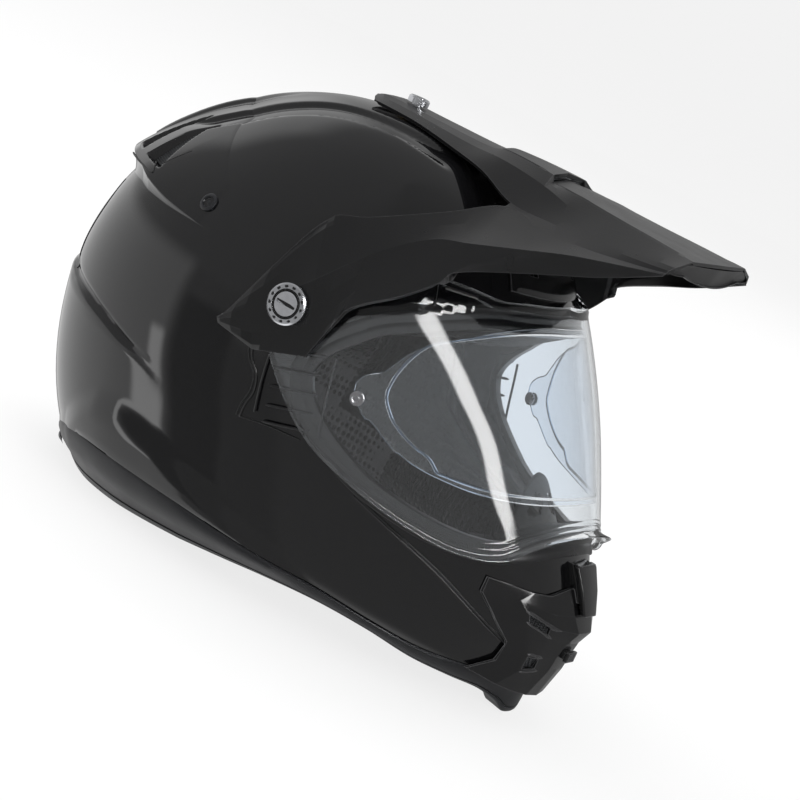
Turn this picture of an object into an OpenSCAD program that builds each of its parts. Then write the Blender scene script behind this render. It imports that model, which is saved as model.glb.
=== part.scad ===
/* [Shell] */
// Width of the shell across the temples
shell_w = 244; // [236:1:254]
// Height of the crown above the base
shell_h = 244.5; // [239:0.5:252]
// Reach of the shell behind the middle of the head opening
rear_reach = 165; // [158:1:172]
// Reach of the chin bar in front of the middle of the head opening
front_reach = 174; // [168:1:181]
// Pitch of the shell when it stands on its rim, nose up
base_pitch = 2.2; // [1:0.2:3]
// Wall of the moulded shell
shell_wall = 4.2; // [3.6:0.1:4.8]
// Height of the raised flare behind the jaw over the shell
flare_rise = 3; // [1:0.5:4]
// Depth of the two air channels along the crown
channel_depth = 2.4; // [1:0.2:3]
// Height of the flat rim band below the shell's seam, at its inner lip
trim_lip_h = 5; // [3:0.5:6]
// Depth of the rim band, from the shell's face inwards
trim_depth = 14; // [10:0.5:16]

/* [Liners] */
// Thickness of the foam impact liner
impact_t = 28; // [22:1:32]
// Thickness of the fabric comfort liner
comfort_t = 8.5; // [6:0.5:11]
// Thickness of a cheek pad in its middle
cheek_t = 33; // [26:1:38]
// Radial half thickness of the neck roll
roll_r = 11; // [8:0.5:12]
// Thickness of the foam in the chin bar
chin_foam_t = 14; // [9:1:18]
// Clearance between soft and hard pieces
soft_gap = 0.4; // [0.3:0.1:0.8]

/* [Eye port] */
// Angle from the nose to the rear end of the eye port
port_angle = 72; // [66:6:72]
// Width of the gasket's lip inside the port
gasket_lip = 4.5; // [3:0.5:6]
// Width of the gasket's flange on the shell
gasket_flange = 7; // [5:0.5:9]
// Thickness of the gasket over the shell
gasket_t = 1.2; // [1:0.1:1.3]

/* [Shield] */
// Wall of the clear shield
shield_wall = 2; // [1.8:0.1:2.4]
// Space between the shell and the shield
shield_gap = 3.4; // [3.2:0.1:3.8]
// Outward rise of the shield's lower rim
rim_rise = 2; // [1:0.5:3]
// Outward rise of the lift tab on the rim
tab_rise = 4; // [2:0.5:6]
// Place of the shield's pivot, forwards
pivot_x = 11.2; // [10:0.2:14]
// Height of the shield's pivot as a share of the shell's height
pivot_share = 0.6037; // [0.593:0.0001:0.609]
// Radius of the shield's ear round the pivot
ear_r = 14; // [12:0.5:15]
// Thickness of the shield's ear
ear_t = 3; // [2.4:0.2:3.4]
// Wall of the anti-fog insert
insert_wall = 0.7; // [0.5:0.1:0.8]
// Radius of a retaining pin of the insert
insert_pin_r = 3.6; // [3:0.1:4]

/* [Peak] */
// Wall of the peak
peak_wall = 2.4; // [2:0.1:2.8]
// Place of the top screw, forwards
top_screw_x = -31; // [-34:0.5:-28]
// Length of the adjusting slot under the top screw
top_slot_l = 14; // [13:0.5:18]
// Turn of each side screw towards the front
screw_yaw = 3; // [2:0.5:5]
// Turn of each side screw upwards
screw_pitch = 3; // [1:0.5:5]

/* [Fasteners] */
// Radius of the screws' shanks
shank_r = 3; // [2.5:0.1:3.2]
// Radius of a side screw's head
side_head_r = 10.6; // [9:0.1:11.5]
// Radius of the top screw's head
top_head_r = 5.9; // [5.4:0.1:6.4]
// Height of a screw's head
head_h = 3.6; // [3:0.1:4.5]
// Outer radius of a pivot boss
boss_r = 8; // [7.4:0.1:8.6]
// Thickness of the spacer washer between a boss and the peak's arm
washer_t = 3; // [2.8:0.1:4]
// Radial clearance of a shank in its nut and of an ear on its boss
running = 0.05; // [0.02:0.01:0.08]

/* [Chin strap] */
// Width of the strap's webbing
web_w = 22; // [20:1:25]
// Thickness of the webbing
web_t = 1.6; // [1.2:0.1:2]
// Length of the buckle's housing
buckle_l = 46; // [42:1:52]
// Width of the buckle's housing
buckle_w = 26; // [25:1:30]
// Height of the buckle's housing
buckle_h = 10; // [9.5:0.5:12]

/* [Hidden] */
$fn = 48;

half_w = shell_w / 2;
// Size that the outlines below were drawn at: rear, front, half width, height
DRAWN_REAR = 165;
DRAWN_HEEL = 126;
DRAWN_FRONT = 174;
DRAWN_HALF = 122;
DRAWN_H = 244.5;
kx = front_reach / DRAWN_FRONT;
kr = rear_reach / DRAWN_REAR;
ky = half_w / DRAWN_HALF;
kz = shell_h / DRAWN_H;
pivot_z = pivot_share * shell_h;

// Level cuts through the shell, base to crown: height, rear, front, half width, widest place,
// squareness behind, squareness in front
STATIONS = [
    [0, 126, 161, 88, -10, 2.2, 1.8],
    [18, 140, 169, 99, -12, 2.2, 1.8],
    [38, 151, 174, 108, -14, 2.2, 1.8],
    [62, 159, 168, 115, -16, 2.2, 1.9],
    [85, 163, 155, 120, -18, 2.2, 2],
    [110, 165, 142, 122, -20, 2.2, 2],
    [135, 161, 128, 121, -20, 2.2, 2],
    [160, 152, 112, 116, -20, 2.2, 2],
    [185, 137, 94, 106, -20, 2.1, 2],
    [207, 118, 75, 91, -20, 2, 2],
    [225, 95, 52, 72, -20, 2, 2],
    [237.5, 69, 27, 50, -20, 2, 2],
    [243.2, 39, 0, 21, -20, 2, 2]
];
LAST = len(STATIONS) - 1;
ROW_TABLE = [for (i = [0 : LAST]) [STATIONS[i][0] * kz, i]];
// Heights of the shell's edges, one value each ten degrees from the nose to the nape
SEAM = [14, 14, 13, 11, 11, 14, 18, 20, 22, 24, 25, 25.5, 25, 23, 19, 13, 10, 9, 9];
// Height of the rim band's lower edge above the ground
BASE = [0, 4, 9.5, 11, 12.5, 16.5, 18, 16, 12, 8, 5, 2.5, 1, 0, 0, 0, 0, 0, 0];
SILL = [86, 84.5, 80, 74.5, 73, 76, 84, 102, 102, 100, 100, 100, 100, 100, 100, 100, 100, 100, 100];
BROW = [180, 179.5, 178, 176, 171, 163.5, 153.5, 134, 138, 140, 140, 140, 140, 140, 140, 140, 140, 140, 140];
// Heights of the shield's rim and top edge, each ten degrees from the nose
RIM = [88, 86, 80, 70.5, 68, 72, 80, 93, 123];
TOP = [188, 187, 186, 184, 185, 184, 176, 165, 156];
// Upper edges of the jaw flare and of the rear body, angle from the nose against height
FLARE_EDGE = [[58, 12], [71, 28], [82, 41], [96, 52], [108, 57], [118, 55], [126, 42], [164, 15], [180, 8]];
BODY_EDGE = [[64, 30], [71, 40], [80, 50], [89, 62], [98, 75], [108, 86], [126, 91], [144, 93], [180, 93]];

// Smooth curve through a list of numbers or of rows, u counted in places
function smooth(list, u) =
    let (n = len(list) - 1, v = min(max(u, 0), n), i = min(floor(v), n - 1), f = v - i)
    let (b = list[i], c = list[i + 1])
    let (a = i > 0 ? list[i - 1] : 2 * b - c, d = i + 2 <= n ? list[i + 2] : 2 * c - b)
    0.5 * (2 * b + (c - a) * f + (2 * a - 5 * b + 4 * c - d) * f * f + (3 * b - a - 3 * c + d) * f * f * f);
function mix(a, b, f) = a + (b - a) * f;
function step(x) = let (v = min(max(x, 0), 1)) v * v * (3 - 2 * v);
function unit(v) = v / norm(v);
// Height of the ground below a place x, before the shell is pitched onto its rim
heel_x = DRAWN_HEEL * kr;
function ground_z(x) = -(x + heel_x) * tan(base_pitch);
module seated() {
    translate([-heel_x, 0, 0]) rotate([0, -base_pitch, 0]) translate([heel_x, 0, 0]) children();
}
function around(phi) = abs(phi > 180 ? phi - 360 : phi < -180 ? phi + 360 : phi);
function height(list, phi) = kz * smooth(list, around(phi) / 10);
function row_of(z) = lookup(z, ROW_TABLE);

// A level cut of the shell at its true size
function station(t) =
    let (s = smooth(STATIONS, t))
    [s[0] * kz, s[1] * kr, s[2] * kx, s[3] * ky, s[4] * kr, s[5], s[6]];
// Point of the shell's face at row t, angle phi from the nose
function face_pt(t, phi) =
    let (s = station(t), c = cos(phi), q = sin(phi))
    let (e = 2 / (c >= 0 ? s[6] : s[5]), reach = c >= 0 ? s[2] - s[4] : s[4] + s[1])
    [s[4] + reach * sign(c) * pow(abs(c), e), s[3] * sign(q) * pow(abs(q), e), s[0]];
function face_normal(t, phi) =
    let (hi = min(t + 0.05, LAST), across = face_pt(t, phi + 1.5) - face_pt(t, phi - 1.5))
    unit(cross(across, face_pt(hi, phi) - face_pt(hi - 0.1, phi)));
// Point off the shell's face by a distance along its normal, outwards positive
function off_pt(t, phi, off) = face_pt(t, phi) + off * face_normal(t, phi);
// Point off the face along the level, so that its height stays z
function level_pt(z, phi, off) =
    let (t = row_of(z), p = face_pt(t, phi), n = face_normal(t, phi), h = unit([n.x, n.y]))
    [p.x + off * h.x, p.y + off * h.y, z];
// Half width of the shell at a place x, z
function side_y(x, z) =
    let (s = station(row_of(z)), front = x > s[4], e = front ? s[6] : s[5])
    let (v = abs(x - s[4]) / (front ? s[2] - s[4] : s[4] + s[1]))
    s[3] * pow(max(1 - pow(v, e), 0), 1 / e);
// Crown height of the shell at a place x on the middle plane, by halving
function crown_z(x, lo = LAST - 3, hi = LAST, n = 14) =
    let (m = (lo + hi) / 2, s = station(m), inside = x > -s[1] && x < s[2])
    n == 0 ? s[0] : crown_z(x, inside ? m : lo, inside ? hi : m, n - 1);

// Moulded relief of the shell's face: crown channels, rear body, jaw flare and rear spine
function relief(t, phi) =
    let (p = face_pt(t, phi), y = abs(p.y), a = around(phi))
    let (mid = mix(34 * ky, 27 * ky, step((p.x + rear_reach) / (rear_reach + front_reach / 4))))
    let (fade = step((p.x + rear_reach * 0.8) / 20) * step((front_reach * 0.14 - p.x) / 20))
    let (channel = -channel_depth * step(1 - abs(y - mid) / 11) * fade * step((p.z - shell_h * 0.7) / 10))
    let (body = flare_rise * 0.6 * step((lookup(a, BODY_EDGE) * kz - p.z) / 8) * step((a - 64) / 6))
    let (flare = flare_rise * step((lookup(a, FLARE_EDGE) * kz - p.z) / 7) * step((a - 58) / 8))
    let (spine = 3.4 * step((25 * ky - y) / 7) * step((-p.x - 66) / 55) * step((p.z - shell_h * 0.6) / 12))
    channel + body + flare + spine;

// Closed wall between an outer and an inner grid of points, over the cells that keep() names.
// Columns run round the shell, rows run up. wrap joins the last column to the first, and apex
// closes the top row with an outer and an inner point.
function kept(keep, i, j, n, m, wrap) =
    i >= 0 && i < n - 1 && (wrap || (j >= 0 && j < m - 1)) && keep(i, (j + m) % m);
// turn() names the cells that split along their other diagonal.
module grid_solid(outer, inner, keep = function (i, j) true, wrap = false, apex = [], turn = function (i, j) false) {
    n = len(outer);
    m = len(outer[0]);
    h = n * m;
    cap = len(apex) > 0;
    cells = [for (i = [0 : n - 2]) for (j = [0 : wrap ? m - 1 : m - 2]) if (keep(i, j)) [i, j]];
    faces = [for (q = cells)
        let (i = q[0], j = q[1], a = i * m + j, b = i * m + (j + 1) % m, d = a + m, c = b + m)
        each concat(
            turn(i, j)
                ? [[a, d, b], [d, c, b], [a + h, b + h, d + h], [d + h, b + h, c + h]]
                : [[a, c, b], [a, d, c], [a + h, b + h, c + h], [a + h, c + h, d + h]],
            kept(keep, i - 1, j, n, m, wrap) ? [] : [[a, b, b + h], [a, b + h, a + h]],
            kept(keep, i + 1, j, n, m, wrap) || (cap && i == n - 2) ? [] : [[c, d, d + h], [c, d + h, c + h]],
            kept(keep, i, j + 1, n, m, wrap) ? [] : [[b, c, c + h], [b, c + h, b + h]],
            kept(keep, i, j - 1, n, m, wrap) ? [] : [[d, a, a + h], [d, a + h, d + h]])];
    lid = cap ? [for (j = [0 : m - 1])
        let (p = (n - 1) * m + j, q = (n - 1) * m + (j + 1) % m)
        each [[q, p, 2 * h], [p + h, q + h, 2 * h + 1]]] : [];
    polyhedron(concat([for (r = outer) each r], [for (r = inner) each r], apex), concat(faces, lid), convexity = 8);
}
// Closed bar through a list of rings of points; loop joins the last ring to the first
module ring_solid(rings, loop = false) {
    n = len(rings);
    m = len(rings[0]);
    sides = [for (i = [0 : loop ? n - 1 : n - 2]) for (k = [0 : m - 1])
        let (a = i * m + k, b = i * m + (k + 1) % m, d = ((i + 1) % n) * m + k, c = ((i + 1) % n) * m + (k + 1) % m)
        each [[a, b, c], [a, c, d]]];
    ends = loop ? [] : [for (k = [1 : m - 2]) each [[0, k + 1, k], [(n - 1) * m, (n - 1) * m + k, (n - 1) * m + k + 1]]];
    polyhedron([for (r = rings) each r], concat(sides, ends), convexity = 8);
}
module both_sides() {
    children();
    mirror([0, 1, 0]) children();
}

// The shell's rows in three blocks: seam to sill, sill to brow, brow to crown
LOW_CELLS = 5;
PORT_CELLS = 5;
HIGH_CELLS = 8;
ROWS = LOW_CELLS + PORT_CELLS + HIGH_CELLS;
PHI_STEP = 6;
PHIS = [for (j = [0 : 360 / PHI_STEP - 1]) PHI_STEP * j - 180];
function shell_row(i, phi) =
    let (sill = row_of(height(SILL, phi)), brow = row_of(height(BROW, phi)))
    i <= LOW_CELLS ? mix(row_of(height(SEAM, phi)), sill, i / LOW_CELLS)
    : i <= LOW_CELLS + PORT_CELLS ? mix(sill, brow, (i - LOW_CELLS) / PORT_CELLS)
    : mix(brow, LAST, (i - LOW_CELLS - PORT_CELLS) / HIGH_CELLS);
function mid_phi(j) = around(PHIS[j] + PHI_STEP / 2);
function in_port(i, j) = i >= LOW_CELLS && i < LOW_CELLS + PORT_CELLS && mid_phi(j) < port_angle;
APEX_X = -20 * kr;

module outer_shell() {
    chin_hole = function (i, j) (i == 1 || i == 2) && mid_phi(j) < 2 * PHI_STEP;
    brow_hole = function (i, j) i == LOW_CELLS + PORT_CELLS + 1 && mid_phi(j) > PHI_STEP && mid_phi(j) < 3 * PHI_STEP;
    rear_hole = function (i, j) i == ROWS - 5 && mid_phi(j) > 180 - 4 * PHI_STEP && mid_phi(j) < 180 - 2 * PHI_STEP;
    color([0.03, 0.03, 0.035]) seated()
    difference() {
        grid_solid(
            [for (i = [0 : ROWS]) [for (phi = PHIS) i == 0 ? level_pt(height(SEAM, phi), phi, relief(row_of(height(SEAM, phi)), phi))
                : off_pt(shell_row(i, phi), phi, relief(shell_row(i, phi), phi))]],
            [for (i = [0 : ROWS]) [for (phi = PHIS) i == 0 ? level_pt(height(SEAM, phi), phi, -shell_wall)
                : off_pt(shell_row(i, phi), phi, -shell_wall)]],
            function (i, j) !in_port(i, j) && !chin_hole(i, j) && !brow_hole(i, j) && !rear_hole(i, j),
            true,
            [[APEX_X, 0, shell_h], [APEX_X, 0, shell_h - shell_wall]],
            function (i, j) PHIS[j] < 0);
        both_sides() side_hole(boss_r + soft_gap, boss_y0 - 8, boss_y1);
        translate([top_screw_x, 0, shell_h - 12])
        cylinder(r = top_nut_r + soft_gap, h = 20);
    }
}

module base_trim() {
    color([0.1, 0.1, 0.105]) seated()
    ring_solid([for (phi = PHIS)
        let (top = height(SEAM, phi) - soft_gap, face = relief(row_of(top), phi), low = rim_pt(phi, 0, 0).z)
        [level_pt(top, phi, face + 0.4),
         level_pt(top, phi, -shell_wall),
         level_pt(max(low + trim_lip_h, mix(low, top, 0.5)), phi, -shell_wall - 1.5),
         rim_pt(phi, -trim_depth + 2, trim_lip_h),
         rim_pt(phi, -trim_depth, trim_lip_h / 2),
         rim_pt(phi, -trim_depth + 2, 0),
         rim_pt(phi, -0.5, 0),
         level_pt(mix(low, top, 0.25), phi, 1.6),
         level_pt(mix(low, top, 0.6), phi, face + 1.6)]], true);
}
// Point of the rim band at a height over its lower edge
function rim_pt(phi, off, up) =
    let (p = level_pt(0, phi, off)) [p.x, p.y, ground_z(p.x) + up + (around(phi) <= PHI_STEP ? 0 : max(height(BASE, phi), 0))];

module impact_liner() {
    out = -shell_wall - soft_gap;
    color([0.16, 0.16, 0.17]) seated()
    grid_solid(
        [for (i = [0 : ROWS]) [for (phi = PHIS) off_pt(shell_row(i, phi), phi, out)]],
        [for (i = [0 : ROWS]) [for (phi = PHIS) off_pt(shell_row(i, phi), phi, out - impact_t)]],
        function (i, j) i >= LOW_CELLS + PORT_CELLS || (i >= LOW_CELLS ? mid_phi(j) > 102
            : i >= LOW_CELLS - 2 && mid_phi(j) > 126),
        true,
        [[APEX_X, 0, shell_h + out], [APEX_X, 0, shell_h + out - impact_t]]);
}

// Quilted crown and sides: panels between sewn channels
module comfort_liner() {
    out = -shell_wall - impact_t - 2 * soft_gap;
    quilt = function (i, phi) 0.45 + 0.55 * sqrt(abs(sin(phi * 5))) * step(abs(((i - LOW_CELLS) % 4) - 2) / 0.8 + 0.25);
    color([0.2, 0.2, 0.21]) seated()
    grid_solid(
        [for (i = [0 : ROWS]) [for (phi = PHIS) off_pt(shell_row(i, phi), phi, out)]],
        [for (i = [0 : ROWS]) [for (phi = PHIS) off_pt(shell_row(i, phi), phi, out - comfort_t * quilt(i, phi))]],
        function (i, j) i >= LOW_CELLS + PORT_CELLS || (i > LOW_CELLS && mid_phi(j) > 102),
        true,
        [[APEX_X, 0, shell_h + out], [APEX_X, 0, shell_h + out - comfort_t]]);
}

// Front and rear edges of a cheek pad, height against angle from the nose
PAD_FRONT = [[20, 48], [66, 52], [82, 68], [94, 76], [134, 78]];
PAD_REAR = [[20, 112], [84, 120], [98, 98], [134, 97]];
// Room behind the pads for the strap, its rivets and the press studs
pad_out = shell_wall + web_t + 2.8;
module cheek_pad() {
    n = 10;
    m = 8;
    at = function (i, j, in) let (z = mix(23.5, 133, i / n), phi = mix(lookup(z, PAD_FRONT), lookup(z, PAD_REAR), j / m))
        let (crown = pow(max(sin(180 * i / n) * sin(180 * j / m), 0), 0.4), seam = j == 3 || i == 6 ? 0.88 : 1)
        off_pt(row_of(z * kz), phi, -pad_out - in * cheek_t * (0.5 + 0.5 * crown) * seam);
    color([0.15, 0.15, 0.16]) seated()
    grid_solid(
        [for (i = [0 : n]) [for (j = [0 : m]) at(i, j, 0)]],
        [for (i = [0 : n]) [for (j = [0 : m]) at(i, j, 1)]]);
}
module cheek_pad_left() { cheek_pad(); }
module cheek_pad_right() { mirror([0, 1, 0]) cheek_pad(); }

module neck_roll() {
    color([0.15, 0.15, 0.16]) seated()
    ring_solid([for (k = [0 : 18])
        let (phi = 126 + 6 * k, full = 0.45 + 0.55 * pow(max(sin(180 * k / 18), 0), 0.5), pinch = k % 3 == 0 ? 0.93 : 1)
        [for (q = [9 : -1 : 0])
            level_pt(kz * (36 + 23 * full * pinch * sin(36 * q)), phi,
                -shell_wall - soft_gap - roll_r - 1 + roll_r * full * pinch * cos(36 * q))]]);
}

module chin_foam() {
    out = -shell_wall - soft_gap - 0.1;
    color([0.13, 0.13, 0.14]) seated()
    grid_solid(
        [for (z = [20, 32, 44, 56, 66]) [for (phi = [-42 : 6 : 42]) off_pt(row_of(z * kz), phi, out)]],
        [for (z = [20, 32, 44, 56, 66]) [for (phi = [-42 : 6 : 42]) off_pt(row_of(z * kz), phi, out - chin_foam_t)]]);
}

// Cloth across the underside of the chin bar, bowed upwards
CURTAIN_T = 1.6;
module chin_curtain() {
    at = function (u, phi, in) rim_pt(phi, -trim_depth + 1.2 - 24 * u, trim_lip_h + CURTAIN_T * (1 - in) + 0.3 + 5 * sin(90 * u));
    color([0.12, 0.12, 0.13]) seated()
    grid_solid(
        [for (phi = [-30 : 6 : 30]) [for (u = [0 : 0.25 : 1]) at(u, phi, 0)]],
        [for (phi = [-30 : 6 : 30]) [for (u = [0 : 0.25 : 1]) at(u, phi, 1)]]);
}

// Path round the eye port: row and angle, along the sill, up the left end, back along the brow
PORT_PATH = concat(
    [for (phi = [-port_angle + PHI_STEP : PHI_STEP : port_angle - PHI_STEP]) [LOW_CELLS, phi]],
    [for (i = [0 : PORT_CELLS]) [LOW_CELLS + i, port_angle]],
    [for (phi = [port_angle - PHI_STEP : -PHI_STEP : -port_angle + PHI_STEP]) [LOW_CELLS + PORT_CELLS, phi]],
    [for (i = [PORT_CELLS : -1 : 0]) [LOW_CELLS + i, -port_angle]]);
function port_pt(k) = let (q = PORT_PATH[(k + len(PORT_PATH)) % len(PORT_PATH)]) face_pt(shell_row(q[0], q[1]), q[1]);
module eye_port_gasket() {
    color([0.12, 0.12, 0.13]) seated()
    ring_solid([for (k = [0 : len(PORT_PATH) - 1])
        let (q = PORT_PATH[k], p = port_pt(k), n = face_normal(shell_row(q[0], q[1]), q[1]))
        let (e = unit(cross(port_pt(k + 1) - port_pt(k - 1), n)))
        [for (s = [
            [-soft_gap, -shell_wall], [-soft_gap, soft_gap], [gasket_flange, soft_gap],
            [gasket_flange - 1, gasket_t], [-gasket_lip + 1, gasket_t], [-gasket_lip, 0.8], [-gasket_lip, -shell_wall]])
            p + s[0] * e + s[1] * n]], true);
}

// Rubber deflector over the sill in front of the nose
module breath_guard() {
    at = function (u, phi, in) level_pt(height(SILL, phi) - 6 + 20 * u * (1 - abs(phi) / 60), phi,
        -shell_wall - soft_gap - 0.6 - 9 * u - in * 2.4);
    color([0.09, 0.09, 0.095]) seated()
    grid_solid(
        [for (u = [0 : 0.25 : 1]) [for (phi = [-30 : 6 : 30]) at(u, phi, 0)]],
        [for (u = [0 : 0.25 : 1]) [for (phi = [-30 : 6 : 30]) at(u, phi, 1)]]);
}

// Chin vent housing: rows up from the rim, each with its points from the middle outwards.
// A point is its distance from the middle plane, its height and its rise over the shell.
HOUSING = [
    [[0, 4, 8], [11, 4.5, 8.4], [21, 5.5, 9], [31, 7, 8.4], [43, 10, 4.6]],
    [[0, 21, 4.8], [9, 21, 5.4], [17, 20, 4.8], [28, 18, 7.5], [38, 20, 4.6]],
    [[0, 30, 2.8], [9, 29, 3.6], [19, 28, 3.4], [29, 29, 4.6], [40, 32, 3.4]],
    [[0, 38, 3.2], [8, 38, 3.6], [21, 40, 2.8], [39, 46, 4.8], [49, 41, 3.4]],
    [[0, 46, 7.6], [8, 46, 8], [22, 45.5, 4.2], [41, 51.5, 5.2], [54, 47, 3.2]],
    [[0, 54, 5], [11, 54, 5.4], [24, 53, 5.4], [44, 55.5, 3.8], [59, 53, 3]],
    [[0, 64, 2.8], [12, 66, 2.4], [27, 61, 2.6], [38, 60.5, 2.6], [59, 61.5, 2.6]]
];
// Front of the shell at a distance from the middle plane and a height
function front_at(y, z) =
    let (s = station(row_of(z))) s[4] + (s[2] - s[4]) * pow(max(1 - pow(abs(y) / s[3], s[6]), 0), 1 / s[6]);
function housing_pt(i, k, rise) =
    let (q = HOUSING[i][abs(k)], y = q[0] * ky, z = q[1] * kz)
    [front_at(y, z) + (is_undef(rise) ? q[2] : rise), sign(k) * y, z];
module chin_vent_housing() {
    mesh_hole = function (i, j) (i == 3 && (j == 1 || j == 6)) || (i == 1 && (j == 1 || j == 6));
    color([0.04, 0.04, 0.045]) seated()
    difference() {
        grid_solid(
            [for (i = [0 : 6]) [for (k = [-4 : 4]) housing_pt(i, k)]],
            [for (i = [0 : 6]) [for (k = [-4 : 4]) housing_pt(i, k, i < 2 ? 3 : i < 4 ? 1.7 : 1.2)]],
            function (i, j) !mesh_hole(i, j), turn = function (i, j) j < 4);
        shutter_slot();
    }
}
// Wire mesh panels behind the vent's four windows
module chin_vent_meshes() {
    panel = function (i, rise)
        [for (u = [0.12, 0.88]) [for (v = [0.1, 0.9])
            let (y = mix(mix(HOUSING[i][2][0], HOUSING[i][3][0], v), mix(HOUSING[i + 1][2][0], HOUSING[i + 1][3][0], v), u) * ky)
            let (z = mix(mix(HOUSING[i][2][1], HOUSING[i][3][1], v), mix(HOUSING[i + 1][2][1], HOUSING[i + 1][3][1], v), u) * kz)
            [front_at(y, z) + rise, y, z]]];
    color([0.45, 0.46, 0.47]) seated()
    both_sides()
    for (i = [1, 3]) grid_solid(panel(i, 2), panel(i, 1.2));
}
FLAP_Z = [55, 78];
FLAP_Y = [8, 12];
FLAP_T = 3.2;
function front_x(z) = station(row_of(z))[2];
// Tapered flap over the nose of the chin vent; it tilts out at its lower edge
flap_x0 = front_x(FLAP_Z[0] * kz) + HOUSING[5][0][2] + 0.4;
flap_x1 = front_x(FLAP_Z[1] * kz) + 3.4;
module chin_flap() {
    color([0.05, 0.05, 0.055]) seated()
    hull() {
        translate([flap_x0, -FLAP_Y[0], FLAP_Z[0] * kz]) cube([FLAP_T, 2 * FLAP_Y[0], 2]);
        translate([flap_x1, -FLAP_Y[1], FLAP_Z[1] * kz - 3]) cube([FLAP_T, 2 * FLAP_Y[1], 3]);
    }
}
SHUTTER_Z = 31;
SHUTTER_W = 9;
SHUTTER_TRAVEL = 4;
shutter_x = front_x(SHUTTER_Z * kz);
module shutter_slot() {
    translate([shutter_x - 6, -SHUTTER_W / 2 - SHUTTER_TRAVEL - soft_gap, SHUTTER_Z * kz - 2 - soft_gap])
    cube([20, SHUTTER_W + 2 * (SHUTTER_TRAVEL + soft_gap), 4 + 2 * soft_gap]);
}
// Thumb slider of the chin vent's shutter, in its slot
module chin_shutter() {
    color([0.07, 0.07, 0.075]) seated() {
        translate([shutter_x + 0.8, -SHUTTER_W / 2, SHUTTER_Z * kz - 2]) cube([3.4, SHUTTER_W, 4]);
        translate([shutter_x + 4, -SHUTTER_W / 2 - 1, SHUTTER_Z * kz - 3]) cube([2.2, SHUTTER_W + 2, 6]);
    }
}

BROW_COVER_Z = [191, 198, 204, 210];
BROW_COVER_PHI = 24;
module brow_vent_cover() {
    cols = [for (k = [-4 : 4]) k * BROW_COVER_PHI / 4];
    rise = [1.2, 3.4, 3.2, 1.2];
    hole = function (i, j) i == 1 && (j == 1 || j == 6);
    color([0.05, 0.05, 0.055]) seated()
    grid_solid(
        [for (i = [0 : 3]) [for (phi = cols) off_pt(row_of(BROW_COVER_Z[i] * kz), phi, abs(phi) < BROW_COVER_PHI ? rise[i] : 1.2)]],
        [for (i = [0 : 3]) [for (phi = cols) off_pt(row_of(BROW_COVER_Z[i] * kz), phi, soft_gap)]],
        function (i, j) !hole(i, j), turn = function (i, j) j < 4);
}
// Thumb slider on the brow vent's cover
module brow_vent_slider() {
    at = function (z, phi, off) off_pt(row_of(z * kz), phi, off);
    color([0.08, 0.08, 0.085]) seated()
    grid_solid(
        [for (z = [201.5, 204]) [for (phi = [-5, 0, 5]) at(z, phi, 5.4)]],
        [for (z = [201, 204.5]) [for (phi = [-6, 0, 6]) at(z, phi, 3.8)]]);
}

// Rear exhaust: a raised hood with two slots each side and a lip that stands off the nape
EXHAUST_Z = [158, 166, 176, 186, 196, 206];
EXHAUST_RISE = [9, 10.2, 9.8, 8.8, 7.2, 5];
module rear_exhaust() {
    cols = [for (k = [-6 : 6]) k];
    slot = function (i, j) i >= 1 && i <= 3 && (j == 1 || j == 3 || j == 8 || j == 10);
    at = function (i, k, off) off_pt(row_of(EXHAUST_Z[i] * kz), 180 + k * 5.5, off);
    base = function (i, k) relief(row_of(EXHAUST_Z[i] * kz), 180 + k * 5.5) + (i == 0 ? 0.4 : 0);
    rise = function (i, k) max(abs(k) == 6 ? 1.4 : EXHAUST_RISE[i] * (abs(k) == 5 ? 0.7 : 1), base(i, k) + 1.2);
    color([0.04, 0.04, 0.045]) seated()
    grid_solid(
        [for (i = [0 : 5]) [for (k = cols) at(i, k, rise(i, k))]],
        [for (i = [0 : 5]) [for (k = cols) at(i, k, base(i, k) + soft_gap)]],
        function (i, j) !slot(i, j), turn = function (i, j) j < 6);
}
module exhaust_meshes() {
    color([0.3, 0.31, 0.32]) seated()
    for (k = [-5, -3, 2, 4])
        grid_solid(
            [for (z = [167, 176, 186, 195]) [for (s = [0.08, 0.92]) off_pt(row_of(z * kz), 180 + (k + s) * 5.5, 5.2)]],
            [for (z = [167, 176, 186, 195]) [for (s = [0.08, 0.92]) off_pt(row_of(z * kz), 180 + (k + s) * 5.5, 4.4)]]);
}
// Short blade under the nape, over the rim band
FIN_Z = [5.4, 8.2];
module rear_fin() {
    at = function (z, phi, off) level_pt(z * kz, phi, relief(row_of(height(SEAM, phi)), phi) + off);
    color([0.05, 0.05, 0.055]) seated()
    grid_solid(
        [for (z = FIN_Z) [for (phi = [144 : 6 : 216]) at(z, phi, z == FIN_Z[0] ? 6.6 - abs(phi - 180) / 12 : 3)]],
        [for (z = FIN_Z) [for (phi = [144 : 6 : 216]) at(z, phi, 2.1)]]);
}

// Stack on a side: shell, boss, shield's ear, peak's arm, screw's head
boss_y0 = side_y(pivot_x, pivot_z) - shell_wall + 1.2;
ear_y0 = side_y(pivot_x, pivot_z - ear_r) + 0.7;
ear_y1 = ear_y0 + ear_t;
boss_y1 = ear_y1 + 0.5;
arm_y = boss_y1 + washer_t + peak_wall;
head_y = arm_y + 0.3;
module side_hole(r, y0, y1) {
    translate([pivot_x, y0, pivot_z]) rotate([-90, 0, 0]) cylinder(r = r, h = y1 - y0);
}
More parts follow.
